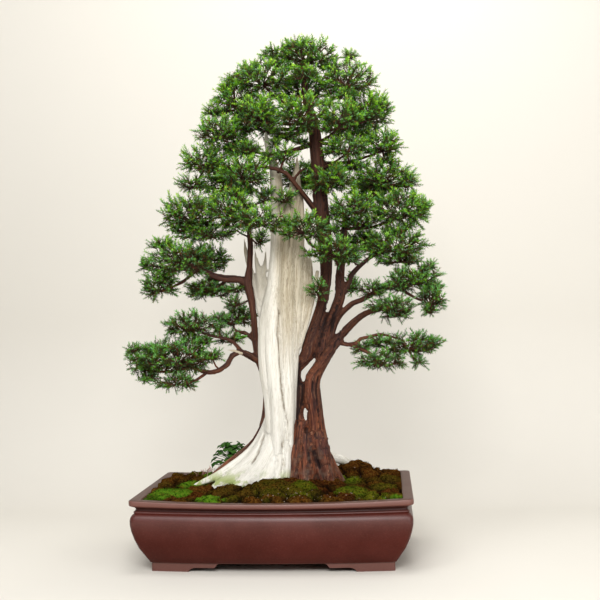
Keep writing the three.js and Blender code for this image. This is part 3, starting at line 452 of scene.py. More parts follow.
class Finish:
    """A material in the making: its shader, and the body colour that tints are laid over."""

    def __init__(self, name, **even):
        self.material = bpy.data.materials.new(name)
        self.material.use_nodes = True
        self.tree = self.material.node_tree
        self.shader = self.tree.nodes["Principled BSDF"]
        self.body = None
        self.feed(**even)

    def join(self, value, socket):
        """Puts a number into a socket, or links a varying value to it."""
        if isinstance(value, Value):
            self.tree.links.new(value.socket, socket)
        else:
            socket.default_value = value

    def feed(self, **values):
        """Joins values to the shader's sockets of those names."""
        for name, value in values.items():
            self.join(value, self.shader.inputs[name.replace("_", " ")])

    def node(self, kind, settings, values, output=0):
        """Adds a node: its settings first, then the value or link of each socket."""
        node = self.tree.nodes.new("ShaderNode" + kind)
        for name, setting in settings.items():
            if name == "stops":
                stops = node.color_ramp.elements
                stops.remove(stops[0])
                (stops[0].position, first), *others = setting
                stops[0].color = (*first, 1)
                for position, colour in others:
                    stops.new(position).color = (*colour, 1)
            else:
                setattr(node, name, setting)
        for socket, value in values.items():
            self.join(value, node.inputs[socket])
        return Value(self, node.outputs[output])

    def maths(self, operation, first, second):
        return self.node("Math", {"operation": operation}, {0: first, 1: second})

    def places(self):
        """Where a point of the surface is, in metres."""
        return self.node("TexCoord", {}, {}, "Object")

    def along(self, axis):
        """How far along an axis a point of the surface is, in metres."""
        return self.node("SeparateXYZ", {}, {0: self.places()}, axis)

    def slope(self):
        """1 where the surface faces up, 0 where it is upright."""
        return self.node("SeparateXYZ", {}, {0: self.node("NewGeometry", {}, {}, "Normal")}, "Z")

    def islands(self):
        """A number from 0 to 1 that is chance's own for each loose part of a piece."""
        return self.node("NewGeometry", {}, {}, "Random Per Island")

    def attribute(self, name, output="Fac"):
        return self.node("Attribute", {"attribute_name": name}, {}, output)

    def noise(self, where, scale, detail=4, roughness=0.55, along=1):
        """Cloudy noise, drawn out along Z where along is under 1."""
        if along != 1:
            where = self.node("Mapping", {}, {"Vector": where, "Scale": (1, 1, along)})
        values = {"Vector": where, "Scale": scale, "Detail": detail, "Roughness": roughness}
        return self.node("TexNoise", {}, values)

    def between(self, value, low, high, most=1):
        """0 where the value is under low, most where it is over high, and an even turn between them."""
        values = {"Value": value, "From Min": low, "From Max": high, "To Max": most}
        return self.node("MapRange", {"interpolation_type": "SMOOTHSTEP"}, values)

    def mix(self, share, first, second):
        """A colour between two others, each of which varies or is given as three numbers."""
        first, second = (colour if isinstance(colour, Value) else (*colour, 1) for colour in (first, second))
        settings = {"data_type": "RGBA", "clamp_factor": True}
        return self.node("Mix", settings, {0: share, 6: first, 7: second}, 2)

    def ramp(self, value, stops):
        return self.node("ValToRGB", {"stops": stops}, {0: value})

    def tint(self, colour, share):
        """Lays a colour over the body colour, as strongly as the share says."""
        self.body = self.mix(share, self.body, colour)

    def bump(self, height, distance, strength=1):
        """Raises the surface by up to distance, in metres, as the height goes from 0 to 1."""
        values = {"Strength": strength, "Distance": distance, "Height": height}
        self.feed(Normal=self.node("Bump", {}, values))

    def made(self, **values):
        """The material, once its body colour and the values are joined to the shader."""
        self.feed(Base_Color=self.body, **values)
        return self.material


def stoneware_finish(colour):
    """Unglazed clay, paler on its lip and feet partly from wear and partly as painted light, with a soft
    sheen and painted shade in the groove under its lip.
    """
    finish = Finish("unglazed stoneware", Specular_IOR_Level=0.1, Coat_Roughness=0.46, Coat_IOR=1.8)
    where = finish.places()
    across = finish.along("X")
    height = finish.along("Z")
    slope = finish.slope()
    cloud = finish.noise(where, 14, 5)
    speck = finish.noise(where, 900, 2, 0.4)
    bowed = 1 - across * across * (2 / POT_WIDTH / MM) ** 2
    sagged = RIM_SAG / (POT_HEIGHT - RIM_SAG_START - RIM_SAG)
    level = height + bowed * (height - RIM_SAG_START * MM) * sagged
    # Where the groove under the lip gets painted shade
    groove = finish.between(level, 0.0984, 0.1) * finish.between(level, 0.1074, 0.1054)
    rim = finish.between(height, 0.1085, 0.1115) * finish.between(slope, 0.6, 0.9)
    dusty = finish.between(finish.noise(where, 60), 0.3, 0.7, 0.25) + 0.62
    sheen = finish.between(slope, -0.45, 0.12) * finish.between(slope, 0.97, 0.75)
    finish.body = finish.mix(finish.between(cloud, 0.35, 0.7), colour, (0.084, 0.016, 0.011))
    finish.tint((0.2, 0.08, 0.055), finish.between(speck, 0.6, 0.72, 0.3))
    finish.tint((0.022, 0.005, 0.004), finish.between(speck, 0.42, 0.3, 0.4))
    # Paler lip and feet: partly wear and dust, partly painted light where light falls on them
    wear_and_painted_light = finish.between(height, 0.1, 0.11, 0.36) + finish.between(height, 0.0165, 0.0125, 0.22)
    finish.tint((0.27, 0.135, 0.105), wear_and_painted_light)
    # Painted shade in the groove under the lip
    finish.tint((0.014, 0.005, 0.004), groove * 0.6)
    finish.tint((0.07, 0.038, 0.028), rim * dusty)
    finish.bump(speck * 0.6 + finish.noise(where, 120, 3) * 0.8, 0.0003, 0.5)
    # The coat's sheen is dulled in the groove as painted shade
    coat = sheen * (cloud * 0.3 + 0.3) * (1 - groove * 0.6)
    return finish.made(Roughness=cloud * 0.14 + 0.36, Coat_Weight=coat)


def soil_finish():
    """Packed grit between two browns."""
    finish = Finish("packed grit", Roughness=0.95)
    grain = finish.noise(finish.places(), 260, 3)
    finish.body = finish.mix(grain, (0.05, 0.032, 0.022), (0.3, 0.22, 0.15))
    finish.bump(grain, 0.002)
    return finish.made()


def plastic_finish():
    """Black moulded plastic with a fine grain."""
    finish = Finish("black plastic mesh")
    grain = finish.noise(finish.places(), 500, 2)
    finish.body = finish.mix(grain, (0.012, 0.012, 0.012), (0.03, 0.03, 0.03))
    finish.bump(grain, 0.0002)
    return finish.made(Roughness=grain * 0.2 + 0.42)


def moss_finish():
    """Moss whose colour follows the cushion that a point is on, with painted shade between cushions and
    clumps.
    """
    finish = Finish("living moss", Roughness=0.95, Specular_IOR_Level=0.0)
    where = finish.places()
    fibre = finish.noise(where, 290, 4, 0.75)
    patch = finish.noise(where, 90, 4, 0.65)
    finish.body = finish.ramp(finish.attribute("kind"), [
        (0.0, (0.045, 0.01, 0.003)), (0.15, (0.088, 0.023, 0.005)), (0.32, (0.09, 0.036, 0.005)),
        (0.46, (0.05, 0.036, 0.004)), (0.6, (0.105, 0.112, 0.006)), (0.76, (0.08, 0.14, 0.007)),
        (1.0, (0.085, 0.24, 0.012)),
    ])
    finish.tint((0.1, 0.045, 0.007), finish.between(patch, 0.5, 0.75, 0.5))
    finish.tint((0.014, 0.007, 0.002), finish.between(patch, 0.5, 0.34, 0.75))
    finish.tint((0.15, 0.095, 0.018), finish.between(fibre, 0.52, 0.6, 0.5))
    finish.tint((0.005, 0.004, 0.001), finish.between(fibre, 0.5, 0.4, 0.85))
    finish.tint((0.19, 0.11, 0.02), finish.between(finish.islands(), 0.75, 0.95, 0.3))
    # Painted shade between the clumps and low on the cushions, where the dome value is low
    finish.tint((0.006, 0.003, 0.002), finish.between(finish.attribute("dome"), 0.82, 0.2, 0.95))
    finish.bump(fibre, 0.004)
    return finish.made()


def deadwood_finish(colour):
    """Bleached wood, white low down and creamier higher up and to the right, partly its own weathered tone
    and partly painted shade away from the light, with its grain along the strands.
    """
    finish = Finish("bleached deadwood", Specular_IOR_Level=0.2)
    where = finish.places()
    across = finish.along("X")
    height = finish.along("Z")
    grain = finish.attribute("grain", "Vector")
    strip = finish.noise(grain, 240, 4, 0.65, 0.05)
    fine = finish.noise(grain, 620, 3, 0.65, 0.03)
    stain = finish.noise(where, 30, along=0.3)
    # Tan on the right side and higher up: partly the wood's own weathered tone, partly painted shade on the
    # side away from the light
    right = finish.between(across, -0.014, 0.006)
    upper = finish.between(height, 0.29, 0.46) * (right * 0.8 + 0.2)
    branch = finish.between(across, -0.058, -0.066) * finish.between(height, 0.28, 0.3)
    shade = finish.between(across, -0.018, -0.03) * finish.between(height, 0.4, 0.47)
    thin = finish.between(abs(strip - 0.5), 0.035, 0)
    damp = finish.between(finish.noise(where, 48), 0.46, 0.58) * finish.between(height, 0.152, 0.124)
    finish.body = finish.mix(upper * 0.8 + 0.03, colour, (0.5, 0.43, 0.3))
    finish.tint((0.4, 0.32, 0.2), finish.between(stain, 0.4, 0.7) * (upper * 0.45 + 0.08))
    finish.tint((0.32, 0.28, 0.21), finish.between(height, 0.55, 0.64, 0.6))
    finish.tint((0.36, 0.33, 0.26), shade * 0.75)
    finish.tint((0.3, 0.24, 0.15), finish.between(strip, 0.5, 0.64) * (upper * 0.4 + right * 0.2 + 0.12))
    finish.tint((0.22, 0.175, 0.11), thin * (upper * 0.35 + right * 0.2 + 0.22))
    finish.tint((0.33, 0.27, 0.18), finish.between(fine, 0.54, 0.66) * (upper * 0.3 + right * 0.2 + 0.3))
    # Painted shade in the wood's splits and drawn cracks
    finish.tint((0.17, 0.13, 0.085), finish.between(finish.attribute("hollow"), 0.5, 1, 0.8))
    finish.tint((0.36, 0.28, 0.18), branch * 0.8)
    finish.tint((0.27, 0.34, 0.06), damp * 0.85)
    finish.bump(strip * 0.8 + fine * 0.6, 0.0016, 0.9)
    return finish.made(Roughness=strip * 0.2 + 0.65)


def bark_finish(colour):
    """Red-brown bark in strips along the strands, with painted shade higher up under the foliage, and scaly
    near the roots.
    """
    finish = Finish("juniper bark", Specular_IOR_Level=0.2)
    where = finish.places()
    height = finish.along("Z")
    grain = finish.attribute("grain", "Vector")
    strip = finish.noise(grain, 190, 4, 0.65, 0.06)
    broad = finish.noise(grain, 80, 3, 0.5, 0.12)
    fine = finish.noise(grain, 620, 3, 0.65, 0.04)
    stain = finish.noise(where, 38, along=0.35)
    scaly = finish.between(finish.noise(where, 60, 5), 0.5, 0.62) * finish.between(height, 0.21, 0.15)
    finish.body = finish.mix(finish.between(strip, 0.38, 0.6), (0.04, 0.011, 0.007), colour)
    finish.tint((0.26, 0.08, 0.03), finish.between(stain, 0.46, 0.68, 0.5))
    finish.tint((0.27, 0.08, 0.03), finish.between(broad, 0.53, 0.66, 0.42))
    finish.tint((0.032, 0.012, 0.009), finish.between(broad, 0.5, 0.39, 0.85))
    finish.tint((0.034, 0.014, 0.016), finish.between(stain, 0.45, 0.32, 0.7))
    finish.tint((0.36, 0.17, 0.09), finish.between(fine, 0.54, 0.66, 0.6))
    finish.tint((0.018, 0.005, 0.004), finish.between(fine, 0.46, 0.34, 0.7))
    # Painted shade: the bark darkens higher up, where the foliage shades it
    finish.tint((0.034, 0.013, 0.008), finish.between(height, 0.2, 0.46, 0.78))
    # Painted shade in the bark's splits and seams
    finish.tint((0.008, 0.003, 0.003), finish.between(finish.attribute("hollow"), 0.45, 0.85, 0.88))
    finish.tint((0.13, 0.085, 0.06), scaly * 0.45)
    finish.bump(strip * 0.8 + fine * 0.5, 0.0016, 0.9)
    return finish.made(Roughness=fine * 0.25 + 0.55)


def foliage_finish(colour, tip_colour):
    """Needles, fresh green at a sprig's tip and dark brown deep in the pad, partly their own colour and
    partly painted shade, bluer low on the tree, with painted glints on a few.
    """
    finish = Finish("juniper needles", Specular_IOR_Level=0.1)
    where = finish.places()
    # The tip value runs from a sprig's base to its tip and is lowered low in each pad as painted shade
    tip = finish.attribute("tip")
    needle = finish.islands()
    low = finish.between(finish.along("Z"), 0.62, 0.42)
    young = finish.mix(low * 0.8, tip_colour, (0.14, 0.44, 0.15))
    fresh = finish.between(tip, 0.35, 1) * finish.between(finish.noise(where, 75, 3), 0.42, 0.56)
    patch = finish.between(finish.noise(where, 34, 3), 0.42, 0.62)
    finish.body = finish.mix(patch, colour, (0.06, 0.215, 0.025))
    finish.tint((0.022, 0.058, 0.005), needle * 0.8)
    # Dark brown where the tip value is low: partly old needles and twigs, partly painted shade under each pad
    finish.tint((0.03, 0.021, 0.008), finish.between(tip, 0.58, 0.14, 0.9))
    finish.tint((0.035, 0.023, 0.009), low * finish.between(tip, 0.75, 0.3, 0.55))
    finish.tint(young, fresh * 0.85)
    # Painted glints: a few needles picked at random get a pale blue-green highlight
    finish.tint((0.17, 0.38, 0.17), finish.between(needle, 0.87, 0.9, 0.7))
    finish.tint((0.15, 0.055, 0.018), finish.between(needle, 0.08, 0.06, 0.9))
    return finish.made(Roughness=needle * 0.2 + 0.5)


def fern_finish():
    """Dark green leaves, each with its own share of lighter green."""
    finish = Finish("dark green leaf", Specular_IOR_Level=0.12)
    vein = finish.noise(finish.places(), 420, 3)
    finish.body = finish.mix(vein, (0.012, 0.05, 0.007), (0.04, 0.13, 0.012))
    finish.tint((0.09, 0.22, 0.03), finish.islands() * 0.4)
    finish.bump(vein, 0.0006)
    return finish.made(Roughness=vein * 0.2 + 0.5)


def seedling_finish():
    """Seedling stems between red and pink."""
    finish = Finish("red seedling stem", Roughness=0.6)
    finish.body = finish.mix(finish.islands(), (0.3, 0.1, 0.09), (0.6, 0.38, 0.3))
    return finish.made()


def grit_finish():
    """Loose grit, each grain of its own brown."""
    finish = Finish("loose grit", Roughness=0.85)
    finish.body = finish.ramp(finish.islands(), [
        (0.0, (0.08, 0.05, 0.035)), (0.45, (0.16, 0.1, 0.07)), (0.75, (0.2, 0.14, 0.09)),
        (1.0, (0.24, 0.18, 0.12)),
    ])
    finish.bump(finish.noise(finish.places(), 900, 2), 0.0004)
    return finish.made()


def backdrop_finish(colour):
    """A pale cloth that can be looked through from behind and from below."""
    finish = Finish("pale backdrop", Roughness=0.9, Specular_IOR_Level=0.1)
    weave = finish.noise(finish.places(), 3, 3)
    finish.body = finish.mix(weave * 0.4, colour, [share * 0.95 for share in colour])
    behind = finish.node("NewGeometry", {}, {}, "Backfacing")
    clear = finish.node("BsdfTransparent", {}, {})
    cloth = Value(finish, finish.shader.outputs[0])
    mixed = finish.node("MixShader", {}, {0: behind, 1: cloth, 2: clear})
    finish.join(mixed, finish.tree.nodes["Material Output"].inputs["Surface"])
    return finish.made()


# Mesh helpers

def shown(name, data):
    """Puts a mesh, light or camera into the scene as an object."""
    thing = bpy.data.objects.new(name, data)
    bpy.context.scene.collection.objects.link(thing)
    return thing


def mesh_from(name, bm):
    """Turns a bmesh into a mesh, and frees it."""
    mesh = bpy.data.meshes.new(name)
    bm.to_mesh(mesh)
    bm.free()
    return mesh


def add_bmesh(bm, other):
    """Adds a second bmesh to the first, and frees it."""
    mesh = mesh_from("added", other)
    bm.from_mesh(mesh)
    bpy.data.meshes.remove(mesh)


def evaluated(body, *helpers):
    """The shape that an object's modifiers give it, as a bmesh. The object and its helpers go."""
    shape = bmesh.new()
    shape.from_object(body, bpy.context.evaluated_depsgraph_get())
    for used in (body, *helpers):
        mesh = used.data
        bpy.data.objects.remove(used)
        bpy.data.meshes.remove(mesh)
    return shape


def finished_piece(name, bm, material, slot, *nodes):
    """Turns a bmesh into a piece of the object, which stands for those nodes."""
    mesh = mesh_from(name, bm)
    mesh.materials.append(material)
    mesh.shade_smooth()
    piece = shown(name, mesh)
    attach(piece, "root")
    if nodes:
        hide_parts(*nodes)
    return piece


def smooth_route(points, step):
    """A smooth route through (x, y, z, radius) points in millimetres, with a place every step or so."""
    points = [Vector(point) for point in points]
    last = len(points) - 1
    route = []
    for index in range(last):
        before = points[max(index - 1, 0)]
        here, there = points[index], points[index + 1]
        after = points[min(index + 2, last)]
        pieces = max(1, round((there.xyz - here.xyz).length / step))
        for piece in range(pieces):
            t = piece / pieces
            bend = (before * 2 - here * 5 + there * 4 - after) * t ** 2
            twist = (here * 3 - before - there * 3 + after) * t ** 3
            route.append(here + ((there - before) * t + bend + twist) * 0.5)
    route.append(points[last])
    return [(spot(*place.xyz), max(place.w, THINNEST_WOOD) * MM) for place in route]


def placements(route):
    """The place, turn and radius at each step of a route, turned as little as possible from the last."""
    steps = []
    turn = None
    along = None
    for index, (place, radius) in enumerate(route):
        before = route[max(index - 1, 0)][0]
        after = route[min(index + 1, len(route) - 1)][0]
        ahead = (after - before).normalized()
        turn = (along or UP).rotation_difference(ahead) @ (turn or Quaternion())
        along = ahead
        steps.append((place, turn.copy(), radius))
    return steps


def extruded(bm, edges):
    """Extrudes edges, and gives the new vertices and the new edges between them."""
    grown = bmesh.ops.extrude_edge_only(bm, edges=edges)["geom"]
    verts = [part for part in grown if isinstance(part, bmesh.types.BMVert)]
    new = set(verts)
    outer = [part for part in grown if isinstance(part, bmesh.types.BMEdge) and new.issuperset(part.verts)]
    return verts, outer


def sweep(bm, route, sides):
    """Sweeps a ring of that many sides along a route of (place, radius), closed at both ends."""
    steps = [Matrix.LocRotScale(place, turn, Vector((radius,) * 3))
             for place, turn, radius in placements(route)]
    ring = bmesh.ops.create_circle(bm, cap_ends=True, segments=sides, radius=1, matrix=steps[0])["verts"]
    edges = list(dict.fromkeys(edge for vert in ring for edge in vert.link_edges))
    for before, step in zip(steps, steps[1:]):
        verts, edges = extruded(bm, edges)
        bmesh.ops.transform(bm, matrix=step @ before.inverted(), verts=verts)
    bmesh.ops.contextual_create(bm, geom=edges)


def melted(bm, voxel, smoothing):
    """Melts overlapping bodies into one skin of small even faces."""
    bmesh.ops.recalc_face_normals(bm, faces=bm.faces)
    strands = shown("strands", mesh_from("strands", bm))
    remesh = strands.modifiers.new("melt", "REMESH")
    remesh.mode = "VOXEL"
    remesh.voxel_size = voxel
    smooth = strands.modifiers.new("smooth", "SMOOTH")
    smooth.factor = 0.5
    smooth.iterations = smoothing
    return evaluated(strands)


def stamp(bm, pattern, matrix):
    """Adds a copy of a pattern mesh, moved and turned by the matrix, and gives its vertices."""
    first = len(bm.verts)
    copy = pattern.copy()
    copy.transform(matrix)
    bm.from_mesh(copy)
    bpy.data.meshes.remove(copy)
    bm.verts.ensure_lookup_table()
    return [bm.verts[index] for index in range(first, len(bm.verts))]


def moss_height(x, y):
    """The moss carpet's height in millimetres, without its cushions."""
    mounds = sum(high * math.exp(-((x - cx) / wide) ** 2 - ((y - cy) / deep) ** 2)
                 for cx, cy, high, wide, deep in MOUNDS)
    return MOSS_EDGE_HEIGHT + mounds


# Pot

def pot_ring(inset, long_steps, short_steps, corner_steps):
    """The places in millimetres round the pot at that inset, counter-clockwise from above."""
    half_width = POT_WIDTH / 2 - inset
    half_depth = POT_DEPTH / 2 - inset
    radius = max(CORNER_RADIUS - inset * CORNER_TIGHTENING, SMALLEST_CORNER)
    places = []
    for quarter in range(4):
        across = 1 if quarter in (0, 1) else -1
        deep = 1 if quarter in (1, 2) else -1
        for step in range(corner_steps + 1):
            angle = (quarter - 1 + step / corner_steps) * math.pi / 2
            places.append((across * (half_width - radius) + radius * math.cos(angle),
                           deep * (half_depth - radius) + radius * math.sin(angle)))
        x, y = places[-1]
        is_short = quarter % 2 == 0
        steps = short_steps if is_short else long_steps
        for step in range(1, steps):
            back = 1 - 2 * step / steps
            places.append((x, y * back) if is_short else (x * back, y))
    ring = []
    for x, y in places:
        bow = LONG_SIDE_BOW * (1 - (x / half_width) ** 2)
        ring.append((x, y + math.copysign(bow, y) * min(1, abs(y) / (half_depth - radius))))
    return ring


def rim_sag(x, z):
    """How far the rim sags in millimetres between the pot's ends."""
    rise = (z - RIM_SAG_START) / (POT_HEIGHT - RIM_SAG_START)
    return RIM_SAG * (1 - (2 * x / POT_WIDTH) ** 2) * max(0, rise)


def follow_section(bm, section, sag, *steps):
    """Extrudes a ring of the pot's outline along a section of (inset, height) and closes both ends.

    A height may also be a function of the place on the outline.
    """
    count = len(pot_ring(section[0][0], *steps))
    verts = bmesh.ops.create_circle(bm, cap_ends=True, segments=count, radius=1)["verts"]
    edges = list(bm.edges)
    for row, (inset, z) in enumerate(section):
        if row:
            order = {tuple(vert.co): index for index, vert in enumerate(verts)}
            verts, edges = extruded(bm, edges)
            verts.sort(key=lambda vert: order[tuple(vert.co)])
        for vert, (x, y) in zip(verts, pot_ring(inset, *steps)):
            vert.co = spot(x, y, z(x, y) if callable(z) else z - sag * rim_sag(x, z))
    bmesh.ops.contextual_create(bm, geom=edges)


def drilled(bm):
    """Bores the drain holes through the pot's floor."""
    drills = bmesh.new()
    for x in (-DRAIN_HOLE_X, DRAIN_HOLE_X):
        radius = DRAIN_HOLE_RADIUS * MM
        bmesh.ops.create_cone(
            drills, cap_ends=True, segments=40, radius1=radius, radius2=radius, depth=DRILL_LENGTH * MM,
            matrix=Matrix.Translation(spot(x, 0, DRILL_LENGTH / 2)))
    for body in (bm, drills):
        bmesh.ops.recalc_face_normals(body, faces=body.faces)
    blank = shown("blank", mesh_from("blank", bm))
    bore = blank.modifiers.new("bore", "BOOLEAN")
    bore.object = shown("drills", mesh_from("drills", drills))
    bore.solver = "EXACT"
    return evaluated(blank, bore.object)


def quarter_round(share):
    """The height of a quarter circle of radius 1 at that share of its width."""
    return math.sqrt(max(0, 1 - share ** 2))


def foot_line(x, y):
    """The height in millimetres of the foot ring's lower edge at a place on the outline."""
    along_front = abs(y) / POT_DEPTH > abs(x) / POT_WIDTH
    off = abs(x) - FRONT_FOOT_GAP / 2 if along_front else abs(y) - SIDE_FOOT_GAP / 2
    if off <= 0:
        return FOOT_GAP_HEIGHT
    if off < FOOT_INNER_CURVE:
        rise = FOOT_GAP_HEIGHT - FOOT_STEP_HEIGHT
        return FOOT_STEP_HEIGHT + rise * quarter_round(off / FOOT_INNER_CURVE)
    if off < FOOT_STEP_END:
        return FOOT_STEP_HEIGHT
    return FOOT_STEP_HEIGHT * quarter_round((off - FOOT_STEP_END) / FOOT_OUTER_CURVE)


class JuniperPot(bpy.types.PropertyGroup):
    """Sizes and colour of the pot."""
    long_steps: IntProperty(name="Long side steps", description="Faces along a long side", default=44, min=8)
    colour: FloatVectorProperty(
        name="Stoneware", description="Colour of the unglazed clay", subtype="COLOR",
        default=(0.062, 0.0105, 0.0065))


class JUNIPER_OT_pot(bpy.types.Operator):
    """Makes the oblong stoneware pot with its lip, bead, belly, cloud feet and drain holes"""
    bl_idname = "juniper.pot"
    bl_label = "Pot"

    def execute(self, context):
        sizes = context.scene.juniper_pot
        pot = bmesh.new()
        section = POT_BELLY + POT_SHOULDER + POT_NECK + POT_LIP + POT_INSIDE
        follow_section(pot, section, 1, sizes.long_steps, sizes.long_steps * 2 // 3, 8)
        pot = drilled(pot)
        feet = bmesh.new()
        inner = FOOT_INSET + FOOT_WALL
        foot = [(FOOT_INSET, FOOT_TOP), (FOOT_INSET, foot_line), (inner, foot_line), (inner, FOOT_TOP)]
        follow_section(feet, foot, 0, *FOOT_RING_STEPS)
        ends = [face for face in feet.faces if len(face.verts) > 4]
        bmesh.ops.delete(feet, geom=ends, context="FACES_ONLY")
        bmesh.ops.bridge_loops(feet, edges=[edge for edge in feet.edges if edge.is_boundary])
        add_bmesh(pot, feet)
        bmesh.ops.recalc_face_normals(pot, faces=pot.faces)
        piece = finished_piece("stoneware_pot", pot, stoneware_finish(sizes.colour), "pot", "pot")
        piece.data.set_sharp_from_angle(angle=math.radians(50))
        return {"FINISHED"}


# Wood

# The drawn cracks: their depth in metres, their step and sway in millimetres, and the most that the skin
# may face back where they show
DRAWN_CRACK_DEPTH = 0.0035
CRACK_STEP = 1.5
CRACK_SWAY = 1.2
FRONT_LIMIT = 0.35

# The grain: how fine its flutes, grooves and splits are across and along a strand and where each starts, the
# width of a split in noise, and how far apart in metres the grain of two strands starts
FLUTES = (75, 4, 0, 0)
GROOVES = (230, 9, 0, 5)
SPLITS = (95, 2.2, 9, 0)
SPLIT_WIDTH = 0.07
RUN_BETWEEN_STRANDS = 0.37

# The strands in millimetres: their step, the radius from which a stem is fluted, and its twist for each one
STRAND_STEP = 12
THICK_STEM = 8.5
STRAND_TWIST = 0.006


class Flow:
    """The way that the grain runs: it gives a point's place in the straightened strand that it lies in."""

    def __init__(self, routes):
        self.steps = []
        for index, route in enumerate(routes):
            run = index * RUN_BETWEEN_STRANDS
            last = route[0][0]
            for place, turn, radius in placements(route):
                run += (place - last).length
                last = place
                self.steps.append((place, turn.inverted(), radius, run))
        self.tree = kdtree.KDTree(len(self.steps))
        for index, (place, _, _, _) in enumerate(self.steps):
            self.tree.insert(place, index)
        self.tree.balance()

    def straightened(self, point):
        found = self.tree.find_n(point, 6)
        index = min(found, key=lambda hit: hit[2] - self.steps[hit[1]][2])[1]
        place, back, _, run = self.steps[index]
        local = back @ (point - place)
        return Vector((local.x, local.y, local.z + run))


class Cracks:
    """Long cracks that are drawn on the front of the wood."""

    def __init__(self, cracks):
        self.halves = []
        places = []
        for half, route in cracks:
            for (x0, z0), (x1, z1) in zip(route, route[1:]):
                steps = max(1, round(math.hypot(x1 - x0, z1 - z0) / CRACK_STEP))
                for step in range(steps):
                    share = step / steps
                    sway = CRACK_SWAY * noise.noise(Vector((x0, z0 / 9 + share * 3, half)))
                    place = spot(x0 + (x1 - x0) * share + sway, 0, z0 + (z1 - z0) * share)
                    places.append(Vector((place.x, 0, place.z)))
                    self.halves.append(half * MM)
        self.tree = kdtree.KDTree(len(places))
        for index, place in enumerate(places):
            self.tree.insert(place, index)
        self.tree.balance()

    def depth(self, vert):
        """1 in the middle of a crack and 0 outside it, and only on the side that faces the front."""
        if vert.normal.y > FRONT_LIMIT:
            return 0
        _, index, distance = self.tree.find(Vector((vert.co.x, 0, vert.co.z)))
        broken = 0.75 + 0.5 * noise.noise(Vector((vert.co.x * 40, 0, vert.co.z * 55)))
        return max(0, 1 - distance / (self.halves[index] * 1.5)) * broken


def grain_noise(place, pattern):
    """Noise that is drawn out along a strand."""
    across, along, start_across, start_along = pattern
    return noise.noise(
        Vector((place.x * across + start_across, place.y * across, place.z * along + start_along)))


def carve(bm, flow, broad, fine, crack, drawn_cracks):
    """Draws the grain into the skin: broad flutes, fine grooves and cracks, each that deep in metres, and
    stores how much painted shade each point gets in its crevices.
    """
    grain = bm.verts.layers.float_vector.new("grain")
    hollow = bm.verts.layers.float.new("hollow")
    bm.normal_update()
    moves = []
    for vert in bm.verts:
        place = flow.straightened(vert.co)
        vert[grain] = place
        flute = grain_noise(place, FLUTES)
        groove = grain_noise(place, GROOVES)
        split = max(0, 1 - abs(grain_noise(place, SPLITS)) / SPLIT_WIDTH)
        drawn = drawn_cracks.depth(vert)
        shift = flute * broad + groove * fine - split * crack - drawn * DRAWN_CRACK_DEPTH
        # How much painted shade a point gets: most in splits and drawn cracks, less on raised grain
        dark = 0.3 + split * crack * 380 + 0.75 * drawn - groove * 0.3 - flute * 0.25
        vert[hollow] = min(1, max(0, dark))
        moves.append((vert, vert.normal * shift))
    for vert, move in moves:
        vert.co += move
    bm.normal_update()


def wooden_piece(name, node, slot, material, routes, sides, smoothing, depths, cracks, skin_size):
    """Melts a piece of wood from a strand along each route, and carves it to those depths."""
    strands = bmesh.new()
    smooth = [smooth_route(route, STRAND_STEP) for route in routes]
    for route in smooth:
        sweep(strands, route, sides)
    skin = melted(strands, skin_size, smoothing)
    carve(skin, Flow(smooth), *depths, Cracks(cracks))
    finished_piece(name, skin, material, slot, node)


def fluted(route):
    """Splits a stem's route into three strands that wind round its middle."""
    strands = []
    for strand in range(3):
        points = []
        for x, y, z, radius in route:
            angle = strand * math.tau / 3 + STRAND_TWIST * z
            off = 0.4 * radius
            points.append((x + off * math.cos(angle), y + off * math.sin(angle), z, radius * 0.66))
        strands.append(points)
    return strands


class JuniperWood(bpy.types.PropertyGroup):
    """Sizes and colours of the wood."""
    skin: FloatProperty(
        name="Skin", description="Size of the wood's faces", subtype="DISTANCE", default=0.0024, min=0.0005)
    dead_colour: FloatVectorProperty(
        name="Deadwood", description="Colour of bleached wood", subtype="COLOR", default=(0.79, 0.765, 0.695))
    bark_colour: FloatVectorProperty(
        name="Bark", description="Colour of the live bark", subtype="COLOR", default=(0.145, 0.04, 0.019))


class JUNIPER_OT_deadwood(bpy.types.Operator):
    """Makes the bleached trunk from strands that run from its roots up to its spires"""
    bl_idname = "juniper.deadwood"
    bl_label = "Deadwood"

    def execute(self, context):
        sizes = context.scene.juniper_wood
        wooden_piece(
            "bleached_trunk", "deadwood", "deadwood", deadwood_finish(sizes.dead_colour), DEADWOOD.values(),
            14, 5, (0.0012, 0.0007, 0.0005), DEADWOOD_CRACKS, sizes.skin)
        return {"FINISHED"}


def live_routes(stems):
    """The routes of live stems, with the thick ones split into wound strands."""
    routes = []
    for route in stems.values():
        thick = max(point[3] for point in route) > THICK_STEM
        routes += [route] + fluted(route) if thick else [route]
    return routes


class JUNIPER_OT_live_wood(bpy.types.Operator):
    """Makes the live trunk on the right and the live vein on the left"""
    bl_idname = "juniper.live_wood"
    bl_label = "Live wood"

    def execute(self, context):
        sizes = context.scene.juniper_wood
        material = bark_finish(sizes.bark_colour)
        for name, node, stems in (
                ("live_stems", "live_trunk", LIVE_STEMS), ("vein_stems", "live_vein", LIVE_VEIN)):
            wooden_piece(
                name, node, "bark", material, live_routes(stems),
                12, 3, (0.0015, 0.0011, 0.0016), BARK_SEAMS, sizes.skin)
        return {"FINISHED"}


# Foliage

NEEDLE_FLATNESS = 0.6
WHORL_STEP = 0.0038
SPRIG_KINDS = 12
SHORTEST_SPRIG = 0.014


